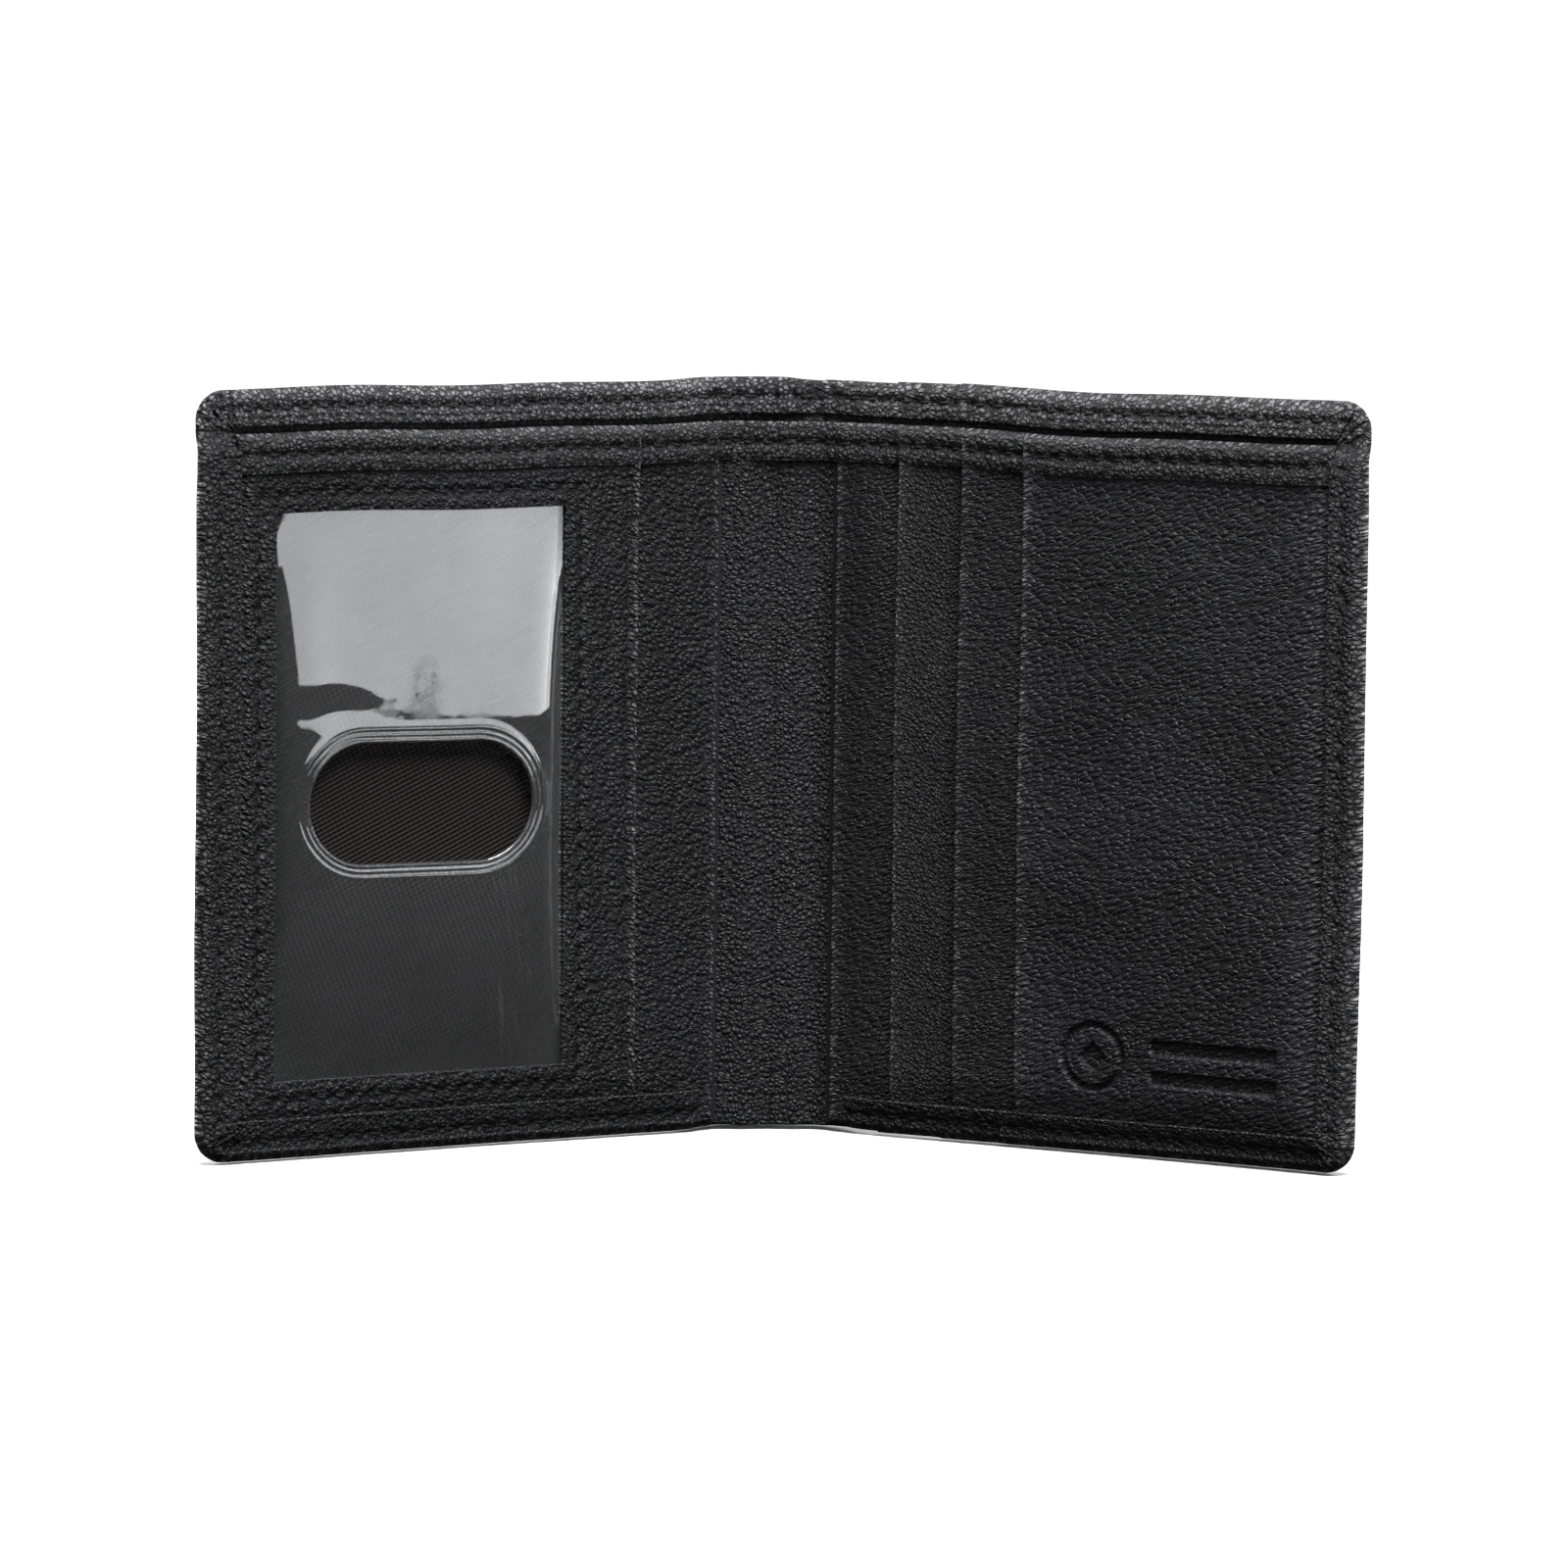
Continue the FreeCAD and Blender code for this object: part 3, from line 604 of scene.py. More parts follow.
def leather(name, cell, depth, turn=0, stretch=(1, 1), light=LEATHER_CROWN, rough=(0.62, 0.36),
            wrinkle=0.0):
    """Grained leather: rounded cells about cell mm across, split by creases, with finer cells on them. The
    grain's colour runs from painted shade in the creases to a painted highlight on the crowns, and the
    mesh's attribute of pale paint adds rubbed wear and painted highlights on the high grain."""
    n = Nodes(name)
    flat = n.warp(n.flat(turn, stretch), 0.25 / cell, 1.1 * cell)
    rounder = n.warp(flat, 1.6 / cell, 0.16 * cell)
    crease = n.spread(n.cells(rounder, 1 / cell, "DISTANCE_TO_EDGE"), 0.0, 0.2)
    pillow = n.spread(n.cells(rounder, 1 / cell, "SMOOTH_F1"), 0.62, 0.0)
    small = n.spread(n.cells(rounder, 2.4 / cell, "DISTANCE_TO_EDGE"), 0.0, 0.25)
    pore = n.noise(flat, 5 / cell, 2.0, 0.5)
    crown = n.math("MULTIPLY_ADD", crease, 0.5, n.math("MULTIPLY", pillow, 0.6))
    patch = n.spread(n.noise(flat, 0.06, 2.0), 0.35, 0.65)
    grained = n.math("MULTIPLY_ADD", small, 0.10, crown)
    height = n.math("MULTIPLY_ADD", pore, 0.10, grained)
    if wrinkle:
        lined = n.noise(n.flat(0, (1.6, 0.10)), 1.1, 3.0, 0.6)
        height = n.math("MULTIPLY_ADD", lined, wrinkle, height)
    # painted shade and highlight: the grain's height makes the creases darker and the crowns paler
    tone_and_crease_shade = n.math("MULTIPLY_ADD", patch, 0.35, n.math("MULTIPLY", height, 0.62))
    wear_and_highlight_amount = n.node("ShaderNodeAttribute", attribute_name="wear", attribute_type="GEOMETRY").outputs["Fac"]
    patchy = n.spread(n.noise(flat, 0.9, 4.0, 0.7), 0.35, 0.62, 0.15, 1.0)
    scuffed_and_highlighted = n.math("MULTIPLY", wear_and_highlight_amount, n.math("MULTIPLY", patchy, n.spread(height, 0.35, 1.0)))
    base = n.colour(n.math("MINIMUM", tone_and_crease_shade, 1.0), LEATHER_BLACK, light)
    tone = n.colour(scuffed_and_highlighted, base, LEATHER_WEAR_AND_HIGHLIGHT)
    return n.surface(tone, n.spread(height, 0.1, 1.25, *rough), height, depth, Specular_IOR_Level=0.34)


def weave(name, pitch, depth, dark, light, rough, diagonal=True):
    """Woven cloth: twill ribs when diagonal, else a plain weave."""
    n = Nodes(name)
    flat = n.warp(n.flat(24 if diagonal else 0), 0.5, 0.08)
    split = n.node("ShaderNodeSeparateXYZ", {0: flat})
    rate = math.tau / pitch
    ribs = n.math("SINE", n.math("MULTIPLY", split.outputs[1], rate))
    picks = n.math("SINE", n.math("MULTIPLY", split.outputs[0], rate * (0.8 if diagonal else 1.0)))
    mixed = n.math("MULTIPLY_ADD", picks, 0.4, ribs)
    height = n.math("MULTIPLY_ADD", mixed, 0.37, 0.5)
    fuzz = n.noise(flat, 6.0, 3.0)
    height = n.math("MULTIPLY_ADD", fuzz, 0.35, height)
    tone = n.colour(n.math("MINIMUM", height, 1.0), dark, light)
    return n.surface(tone, n.spread(height, 0.0, 1.2, rough + 0.12, rough - 0.06), height, depth,
                     Specular_IOR_Level=0.15, Sheen_Weight=0.01)


SMUDGE_AT = (48.5, 66)  # u and z
SMUDGE_HALF = (4.5, 6.5)
SCRATCH_OFFSET = -38.6  # from the middle of the band of scratches to 0, across them


def clear_film():
    """Clear flexible film with a slight haze, a smudge above the thumb hole and a band of fine scratches."""
    n = Nodes("clear_film")
    flat = n.flat()
    spot = n.vectors("SUBTRACT", flat, (-(HINGE_X + SMUDGE_AT[0]), SMUDGE_AT[1], 0))
    oval = n.vectors("MULTIPLY", spot, (1 / SMUDGE_HALF[0], 1 / SMUDGE_HALF[1], 0))
    far = n.vectors("LENGTH", oval, out="Value")
    rubbed = n.noise(n.flat(84, (0.6, 1.2)), 0.9, 4.0, 0.7)
    faded = n.spread(far, 1.0, 0.2)
    smudge = n.math("MULTIPLY", faded, n.spread(rubbed, 0.35, 0.7, 0.05, 0.34))
    split = n.node("ShaderNodeSeparateXYZ")
    n.fill(split, {0: n.flat(98)})
    band = n.math("ABSOLUTE", n.math("ADD", split.outputs[1], SCRATCH_OFFSET))
    fine = n.noise(n.flat(98, (0.04, 1.5)), 1.5, 3.0, 0.7)
    streak = n.spread(fine, 0.5, 0.72, 0.0, 0.2)
    scratches = n.math("MULTIPLY", streak, n.spread(band, 5.0, 2.0))
    rough = n.math("ADD", n.math("ADD", smudge, scratches), 0.02)
    dull = n.spread(n.noise(flat, 0.11, 3.0), 0.3, 0.8)
    tint = n.colour(dull, (0.94, 0.955, 0.97), (0.86, 0.875, 0.89))
    return n.surface(tint, rough, n.noise(flat, 0.16, 2.0), 0.03, Transmission_Weight=0.982, IOR=1.5)


def thread_material():
    n = Nodes("black_thread")
    ply = n.noise(n.flat(38), 7.0, 2.0)
    tone = n.colour(ply, (0.002, 0.002, 0.0025), (0.007, 0.007, 0.008))
    return n.surface(tone, n.spread(ply, 0, 1, 0.85, 0.65), ply, 0.03, Specular_IOR_Level=0.3)


def plain_sheet(name, dark, light, rough, metallic=0.0):
    """Board and foil, which stay hidden inside the leaves."""
    n = Nodes(name)
    speck = n.noise(n.flat(), 2.0, 4.0, 0.6)
    tone = n.colour(speck, dark, light)
    return n.surface(tone, n.spread(speck, 0, 1, rough + 0.1, rough - 0.1), speck, 0.03, Metallic=metallic)


COVER = leather("cover_leather", 0.72, 0.34)
COARSE = leather("coarse_cover_leather", 0.85, 0.40)
SLIP = leather("slip_pocket_leather", 0.68, 0.38, turn=-35, stretch=(0.7, 1.1))
FRAME = leather("frame_leather", 0.72, 0.40, turn=-35, stretch=(0.8, 1.1))
FINE = leather("pocket_leather", 0.56, 0.25)
GUTTER = leather("gutter_leather", 0.68, 0.29, wrinkle=0.5)
# PANEL's crowns are paler still: a painted highlight for the lit front panel
PANEL = leather("panel_leather", 0.68, 0.31, turn=24, stretch=(0.5, 1.1), light=(0.016, 0.016, 0.019))
SLANT = leather("slot_leather", 0.58, 0.24, turn=22, stretch=(0.5, 1.15))
LINING_LEATHER = leather("lining_leather", 0.95, 0.2, rough=(0.7, 0.5))
TWILL = weave("twill_lining", 0.62, 0.17, (0.0004, 0.0003, 0.0003), (0.0125, 0.0102, 0.0096), 0.62)
CLOTH = weave("backing_fabric", 0.35, 0.03, (0.005, 0.005, 0.006), (0.018, 0.018, 0.020), 0.7,
              diagonal=False)
FILM = clear_film()
THREAD = thread_material()
BOARD = plain_sheet("bonded_board", (0.03, 0.026, 0.022), (0.085, 0.072, 0.06), 0.85)
FOIL = plain_sheet("shield_foil", (0.45, 0.45, 0.46), (0.66, 0.66, 0.67), 0.35, metallic=1.0)


# ---- outer leather of both leaves ----

HEM_START = 0.6  # the bottom hem is cut away between the leaves
FIRST_MOUTH = -1.7
MOUTH_LAP = 1.2  # how far one outside pocket's leather goes under the next one's
NEST_STEP = 0.28
OUTER_POCKETS = ["exterior_slot_1", "exterior_slot_2", "exterior_slot_3", "exterior_front_panel"]
OUTER_MOUTHS = [FIRST_MOUTH] + [SPAN[name].u0 for name in OUTER_POCKETS[1:]]
SLOT_1_SPINE_DEPTH = SPINE_DEPTH + 0.62
BASE_DEPTH = SPAN["exterior_pocket_backing"].d1

shell("outer_left", LEFT, (MIDDLE, WIDTH), outer_face(COVER_DEPTH, SPINE_DEPTH), hem_face(LEFT), COVER,
      ["left_cover", "spine_cover"], hem_start=HEM_START)


def under_slots(u):
    """How far the spine's leather has gone under the outside slots' leather, 0 to 1."""
    return smooth((u - MIDDLE) / (FIRST_MOUTH - 0.4 - MIDDLE))


def spine_hem(u, z):
    """The spine's turned edge passes under the first outside slot's."""
    return hem_face(RIGHT)(u, z) + 0.85 * under_slots(u)


shell("outer_spine_right", RIGHT, (MIDDLE, 7.0), outer_face(BASE_DEPTH, SPINE_DEPTH), spine_hem, COVER,
      ["spine_cover"], free=False, hem_start=HEM_START, margin=lambda u: 0.45 * under_slots(u))


def nesting(i):
    """How deep the turned edges of outside pocket i lie inside the last one's."""
    return NEST_STEP * (len(OUTER_POCKETS) - 1 - i)


def pocket_faces(i):
    """Depths of outside pocket i: its outside face, and its turned edges' visible face."""
    outside = outer_face(SPAN[OUTER_POCKETS[i]].d1, SLOT_1_SPINE_DEPTH if i == 0 else None)
    return outside, hem_face(RIGHT, nesting(i) - 0.3)


def outer_pocket(i):
    """The leather of one outside pocket, from its mouth to the next one. The first starts on the spine."""
    name = OUTER_POCKETS[i]
    last = name == OUTER_POCKETS[-1]
    end = WIDTH if last else OUTER_MOUTHS[i + 1] + MOUTH_LAP
    shell(name + "_leather", RIGHT, (OUTER_MOUTHS[i], end), *pocket_faces(i),
          COARSE if i in (1, 2) else COVER, [name], free=last, ride=i > 0,
          margin=lambda u: nesting(i) ** 2 * 0.5, mouth=True, hem_start=HEM_START if i == 0 else None)


for i in range(len(OUTER_POCKETS)):
    outer_pocket(i)


# ---- sheets inside the leaves ----


def flat_sheet(name, side, node, material, near=None, zone=None, step=3.0, bow=0.0, more_nodes=()):
    """One thin sheet with the CAD node's own extent, or from near, to the node's far edge."""
    box = SPAN[node]
    start = box.u0 if near is None else near
    drift = waves(len(name) + 3, 5, 18, 50)

    def face(level):
        return lambda u, z: level + cover_shift(box, u) + bow * drift(u, z)

    u_lines = lines(start, box.u1, step, [(start, 0.3), (box.u1, 0.3)])
    z_lines = lines(box.z0, box.z1, step, [(box.z0, 0.3), (box.z1, 0.3)])
    piece = plate(name, side, u_lines, z_lines, face(box.d0), face(box.d1), material,
                  [node, *more_nodes], edge_u=(0.3 if near is None else 0, 0.3), zone=zone,
                  round_far=box.u1 > WIDTH - CORNER)
    return piece


for side, word in ((LEFT, "left"), (RIGHT, "right")):
    flat_sheet(word + "_lining", side, word + "_compartment_lining", LINING_LEATHER,
               near=MIDDLE, zone=OUTER_ZONE, step=1.5, bow=0.04, more_nodes=["spine_lining"])
    flat_sheet(word + "_shield", side, word + "_rfid_shield", FOIL,
               near=MIDDLE, zone=OUTER_ZONE, step=1.5, more_nodes=["spine_rfid_shield"])
    flat_sheet(word + "_board", side, word + "_cover_board", BOARD, step=1.5)
    flat_sheet(word + "_backing", side, word + "_pocket_backing", CLOTH, step=2.0)
for node in sorted(SPAN):
    if node.endswith("_bag") or node == "exterior_pocket_backing":
        side = LEFT if node.startswith("left") else RIGHT
        flat_sheet(node + "_cloth", side, node, CLOTH)


# ---- inner faces ----


GUTTER_FOOT = 0.5
GUTTER_END = 5.0
GUTTER_T = 0.5


def gutter_wrinkles(s, z):
    """Upright creases where the gutter leather folds."""
    fine = np.sin(s * 3.9 + 0.8 * np.sin(z / 7)) * 0.035 + np.sin(s * 6.1 + np.sin(z / 4.3)) * 0.02
    return fine * smooth(1 - np.abs(s) / 11)


def gutter(side, word):
    """One half of the gutter leather, which goes under the first pocket of its leaf."""
    box = SPAN["spine_gutter"]

    def front(u, z):
        sink = 0.55 * bell(u + HINGE_X, 0, 3.2) - 0.25 * bell(u, -2.5, 2)
        tuck = 0.75 * smooth((u + 0.6) / 1.9)
        valley = 0.55 * bell(u, -2.4, 1.9) * (1 if side == RIGHT else -0.45)
        return box.d0 + sink + valley + gutter_wrinkles(side * (u + HINGE_X), z) + tuck

    plate(word + "_gutter", side, lines(MIDDLE, GUTTER_END, 0.35),
          lines(GUTTER_FOOT, box.z1, 0.8, [(GUTTER_FOOT, 0.4)]), front, lambda u, z: front(u, z) + GUTTER_T,
          GUTTER, ["spine_gutter"], edge_u=(0, 0.3), edge_z=0.4, zone=INNER_ZONE)


gutter(LEFT, "left")
gutter(RIGHT, "right")


def hem_furrow(side, u):
    """The leather under the side hem sinks a little beside the hem's cut edge."""
    return 0.5 * bell(u, WIDTH - SIDE_HEM[side] - 0.3, 0.45)


def strip_front(level, near, seed, lift=0.75, following=None):
    """A pocket strip's face: thick at its folded mouth, and pressed down beside the following mouth."""
    drift = waves(seed, 6, 12, 40)

    def depth(u, z):
        past = np.clip(u - near, 0, None)
        roll = lift * (0.5 * np.exp(-past / 1.1) + 0.5 * np.exp(-past / 4.5))
        dip = 0 if following is None else 1.05 * np.exp(-np.abs(following - u) / 1.0)
        return level - roll + dip + (0.05 + 0.04 * smooth(past / 5)) * drift(u, z)

    return depth


def pocket_strip(name, side, node, material, seed, following):
    """The strip of leather that shows of one pocket, up to the mouth of the node that lies over it."""
    box = SPAN[node]
    after = SPAN[following].u0
    front = strip_front(box.d0, box.u0, seed, following=after)
    plate(name, side, lines(box.u0, box.u1, 0.8, [(box.u0, 0.5), (after, 1.5)]), lines(box.z0, box.z1, 0.9),
          front, lambda u, z: np.maximum(front(u, z) + 0.35, box.d1), material, [node],
          edge_u=(0.6, 0.2))


pocket_strip("slip_pocket_strip", LEFT, "left_slip_pocket", SLIP, 31, "id_window_frame")
pocket_strip("card_slot_1_strip", RIGHT, "card_slot_1", SLANT, 41, "card_slot_2")
pocket_strip("card_slot_2_strip", RIGHT, "card_slot_2", FINE, 42, "card_slot_3")
pocket_strip("card_slot_3_strip", RIGHT, "card_slot_3", SLANT, 43, "card_front_panel")

MARK_U, MARK_Z = 43.3, 14.1  # middle of the pressed ring
RING_RADIUS, RING_HALF = 4.5, 0.62
DIAMOND_REACH = 2.3
BAR_SPAN = (52.4, 71.8)
BARS = ((15.0, 17.0), (10.6, 12.6))  # lower and upper edge of each bar
MARK_SOFT = 0.3  # width of the mark's sloping sides
MARK_GRID_U = (38, 73)  # where the panel's grid is fine enough for the mark
MARK_GRID_Z = (8.8, 19.4)
MARK_GRID = 0.28


def mark(u, z):
    """A generic pressed mark: a ring round a diamond, and two plain bars beside it. 1 is fully pressed."""
    ring = smooth((RING_HALF - np.abs(np.hypot(u - MARK_U, z - MARK_Z) - RING_RADIUS)) / MARK_SOFT)
    diamond = smooth((DIAMOND_REACH - (np.abs(u - MARK_U) + np.abs(z - MARK_Z))) / MARK_SOFT)
    total = np.maximum(ring, diamond)
    left, right = BAR_SPAN
    past_ends = np.abs(u - (left + right) / 2) - (right - left) / 2
    for low, high in BARS:
        out = np.maximum(past_ends, np.abs(z - (low + high) / 2) - (high - low) / 2)
        total = np.maximum(total, smooth(-out / MARK_SOFT + 0.5))
    return total


def front_panel():
    box = SPAN["card_front_panel"]
    base = strip_front(box.d0, box.u0, 51, lift=0.85)

    def front(u, z):
        across = np.clip((u - box.u0) / (box.u1 - box.u0), 0, 1)
        puff = 0.35 * np.sin(math.pi * across) * np.sin(math.pi * z / HEIGHT)
        return base(u, z) - puff + 0.6 * mark(u, z) + hem_furrow(RIGHT, u)

    us = np.union1d(lines(box.u0, box.u1, 0.9, [(box.u0, 0.45)]), np.arange(*MARK_GRID_U, MARK_GRID))
    zs = np.union1d(lines(box.z0, box.z1, 0.9), np.arange(*MARK_GRID_Z, MARK_GRID))
    plate("front_panel", RIGHT, us, zs, front, lambda u, z: base(u, z) + 0.75, PANEL,
          ["card_front_panel"], edge_u=(0.45, 0.2), round_far=True)


front_panel()


# ---- identity window ----

FILM_BOX = SPAN["id_window_film"]
FILM_MARGIN = 2.4
WINDOW = (FILM_BOX.u0 + FILM_MARGIN, FILM_BOX.u1 - FILM_MARGIN,
          FILM_BOX.z0 + FILM_MARGIN, FILM_BOX.z1 - FILM_MARGIN)
WINDOW_SEAM = 2.6
MOUTH_SEAM = 1.5
THUMB_HOLE = (32.0, 66.7, 41.3, 58.2)  # u0, u1, z0, z1
HOLE_U = (THUMB_HOLE[0] + THUMB_HOLE[1]) / 2
HOLE_Z = (THUMB_HOLE[2] + THUMB_HOLE[3]) / 2
FILM_COUNT = 176  # points in each ring of the film
FRAME_DRIFT = waves(61, 6, 10, 34)
FILM_DRIFT = waves(71, 7, 14, 38)


def frame_front(u, z):
    box = SPAN["id_window_frame"]
    relief = seam_relief(beyond(WINDOW, u, z) - WINDOW_SEAM, u + z, 0.3, 0.2)
    mouth = seam_relief(u - (box.u0 + MOUTH_SEAM), z, 0.24, 0.16) * smooth((u - box.u0) / 0.3)
    lip = 0.55 * np.exp(-np.clip(u - box.u0, 0, None) / 1.0)
    return box.d0 - relief - mouth - lip + 0.06 * FRAME_DRIFT(u, z) + hem_furrow(LEFT, u)


def window_frame():
    box = SPAN["id_window_frame"]
    us = lines(box.u0, box.u1, 0.55, [(box.u0, 0.4), (WINDOW[0], 0.2), (WINDOW[1], 0.2)])
    zs = lines(box.z0, box.z1, 0.55, [(WINDOW[2], 0.2), (WINDOW[3], 0.2)])
    plate("window_frame", LEFT, us, zs, frame_front, lambda u, z: box.d1 + 0.06 * FRAME_DRIFT(u, z), FRAME,
          ["id_window_frame"], edge_u=(0.4, 0.2), hole=WINDOW, round_far=True)


def hole_outline(grow):
    """Points round the thumb hole, grown outwards: a straight run, a half circle and a straight run, from
    the middle of its foot to the middle of its top, and then the same turned half round."""
    half_w = (THUMB_HOLE[1] - THUMB_HOLE[0]) / 2 + grow
    half_h = (THUMB_HOLE[3] - THUMB_HOLE[2]) / 2 + grow
    straight, end = half_w - half_h, math.pi * half_h
    along = np.linspace(0, 2 * straight + end, FILM_COUNT // 2, endpoint=False)
    angle = np.clip((along - straight) / half_h, 0, math.pi) - math.pi / 2
    u = half_h * np.cos(angle) + np.minimum(along, straight) - np.maximum(along - straight - end, 0)
    z = half_h * np.sin(angle)
    return np.concatenate([u, -u]) + HOLE_U, np.concatenate([z, -z]) + HOLE_Z


FILM_STAND = 1.6  # how far the loose film stands forward
FILM_KNEE = 59.5  # the film is upright below this height and leans back above it
KNEE_HALF = 4  # half the height over which it turns


def film_bulge(u, z):
    """Loose film stands forward, most of all low down, so that it leans back towards its top. The knee is
    lower beside the fold and higher beside the free edge, and a shallow pucker lies over it."""
    x = np.clip((u - WINDOW[0]) / (WINDOW[1] - WINDOW[0]), 0, 1)
    y = np.clip((z - WINDOW[2]) / (WINDOW[3] - WINDOW[2]), 0, 1)
    across = 1 - np.abs(2 * x - 1) ** 12
    knee = FILM_KNEE - 1.7 * smooth((59 - u) / 9) + 4.5 * smooth((u - 61.5) / 5.5)
    past_knee = z - knee
    turning = (past_knee + KNEE_HALF) ** 2 / (4 * KNEE_HALF)
    lean = np.where(past_knee > KNEE_HALF, past_knee, np.where(past_knee < -KNEE_HALF, 0, turning))
    up = (1 - lean / (WINDOW[3] - knee)) * (1 - (1 - np.clip(y / 0.3, 0, 1)) ** 2)
    pucker = 0.2 * smooth((z - 61.8) / 6.6) * smooth((u - 50) / 14) * smooth((WINDOW[3] - 4 - z) / 20)
    return across * (FILM_STAND * up + 0.035 * FILM_DRIFT(u, z) * np.sqrt(np.clip(up, 0, 1)) + pucker)


RIM_LINES = ((0.16, 0.35, 0.22), (0.13, 1.1, 0.22), (0.15, 1.95, 0.25))  # height, place and width
RIM_RINGS = [0, 0.08, 0.2, 0.4, 0.6, 0.8, 1.0, 1.2, 1.4, 1.6, 1.8, 2.0, 2.2, 2.5, 3.2, 4.2]
FILM_RINGS = 30  # rings between the rim and the film's edge
FILM_HALF_T = 0.15


def rim(out):
    """How far the moulded lines round the thumb hole stand up, out from its edge."""
    return sum(height * bell(out, at, width) for height, at, width in RIM_LINES)


def film_rings():
    """Rings of points from the thumb hole to the film's rectangular edge, and how far out each one is."""
    rings = [(*hole_outline(grow), np.full(FILM_COUNT, grow)) for grow in RIM_RINGS]
    last_u, last_z, last_out = rings[-1]
    middle_u = (WINDOW[0] + WINDOW[1]) / 2
    out_u, out_z = last_u - middle_u, last_z - HOLE_Z
    reach_u = (FILM_BOX.u1 - FILM_BOX.u0) / 2
    up, down = FILM_BOX.z1 - HOLE_Z, HOLE_Z - FILM_BOX.z0
    scale = 1 / np.maximum(np.abs(out_u) / reach_u, np.where(out_z > 0, out_z / up, -out_z / down))
    edge_u, edge_z = middle_u + out_u * scale, HOLE_Z + out_z * scale
    for k in range(1, FILM_RINGS + 1):
        t = k / FILM_RINGS
        u, z = last_u + (edge_u - last_u) * t, last_z + (edge_z - last_z) * t
        rings.append((u, z, last_out + FILM_RINGS * t))
    return (np.array(column) for column in zip(*rings))


def closed(rows):
    """Rings of points with the first point again at the end."""
    return np.concatenate([rows, rows[:, :1]], 1)


def window_film():
    u, z, out = film_rings()
    thick = FILM_HALF_T * dome(out, 0.12)
    middle = (FILM_BOX.d1 + FILM_BOX.d0) / 2 - film_bulge(u, z)
    skin = Skin(LEFT)
    near = skin.add(u, middle - thick - rim(out), z)
    far = skin.add(u, middle + thick - 0.5 * rim(out), z)
    far[0] = near[0]
    far[-1] = near[-1]
    skin.quads(closed(near), flip=True)
    skin.quads(closed(far))
    finish_piece(skin.build("window_film", FILM), LEFT, None, ["id_window_film"])


window_frame()
window_film()
flat_sheet("identity_lining", LEFT, "id_pocket_lining", TWILL, step=1.2, bow=0.05)


# ---- top binding ----

BINDING_T = 0.5
BINDING_FOOT = SPAN["left_top_binding"].z0
BINDING_BEND = 1.25  # height of its rounded top
BOUND = {LEFT: ["left_slip_pocket", "id_window_frame"],
         RIGHT: ["card_slot_1", "card_slot_2", "card_slot_3", "card_front_panel"]}


def under_binding(side, u):
    """Depth of the front of what the binding is turned over: each strip's edge shows through as a step."""
    depth = np.zeros_like(u)
    before = 0.0
    for node in BOUND[side]:
        box = SPAN[node]
        depth = depth + (box.d0 - before) * smooth((u - box.u0 + 0.5) / 1.0)
        before = box.d0
    return depth


def binding_front(side):
    def depth(u, z):
        d = under_binding(side, u) - BINDING_T - 0.05
        relief = seam_relief(z - (INNER_TOP - BINDING_SEAM), u, 0.28, 0.18)
        return d - relief - gathers(side, u, z)

    return depth


def binding(side, word):
    """A strip folded over the top of the inner assembly: a front leg, a round top and a rear leg."""
    far = WIDTH - SIDE_HEM[side] + 0.6
    steps = [(SPAN[node].u0, 0.4) for node in BOUND[RIGHT][1:]]
    u = lines(MIDDLE, far, 0.45, steps)
    foot, top = BINDING_FOOT, INNER_TOP - BINDING_BEND
    back = SPAN["left_pocket_backing"].d1 + BINDING_T
    surface = binding_front(side)
    rows = []  # depth and height of the outer face, then of the inner face
    for rise in np.linspace(0, top - foot, 16):
        z = np.full_like(u, foot + rise)
        face = surface(u, z)
        trim = BINDING_T / 2 * (1 - dome(z - foot, 0.3))
        rows.append((face + trim, z, face + BINDING_T - trim, z))
    front = surface(u, np.full_like(u, top))
    centre, half = (back + front) / 2, (back - front) / 2
    for angle in np.linspace(0, math.pi, 15)[1:-1]:
        outer_z = np.full_like(u, top + BINDING_BEND * math.sin(angle))
        inner_z = np.full_like(u, top + (BINDING_BEND - BINDING_T) * math.sin(angle))
        rows.append((centre - half * math.cos(angle), outer_z,
                     centre - (half - BINDING_T) * math.cos(angle), inner_z))
    for height in np.linspace(top, foot + 1, 6):
        z = np.full_like(u, height)
        rows.append((np.full_like(u, back), z, np.full_like(u, back - BINDING_T), z))
    outer_d, outer_z, inner_d, inner_z = (np.array(column).T for column in zip(*rows))
    across = np.repeat(u[:, None], len(rows), 1)
    # painted highlight: the rounded top is painted paler, as lit along its edge; the rest is light wear all
    # over and a pale cut edge at the foot
    rubbed = 0.22 + 0.7 * bell(outer_z, INNER_TOP, 0.35) + 0.6 * bell(outer_z, foot, 0.18)
    skin = Skin(side, INNER_ZONE)
    outer = skin.add(across, outer_d, outer_z, rubbed)
    inner = skin.add(across, inner_d, inner_z)
    skin.quads(outer)
    skin.quads(inner, flip=True)
    skin.strip(outer[:, 0], inner[:, 0])
    skin.strip(outer[:, -1], inner[:, -1], flip=True)
    skin.strip(outer[0], inner[0], flip=True)
    skin.strip(outer[-1], inner[-1])
    finish_piece(skin.build(word + "_binding", COVER), side, INNER_ZONE,
                 [word + "_top_binding", "gutter_top_binding"])


binding(LEFT, "left")
binding(RIGHT, "right")


# ---- stitching ----


STITCH_RUN = 2.15
THREAD_RADIUS = 0.21
TURN_BACK = 1.5  # a side seam starts this far in from the corner


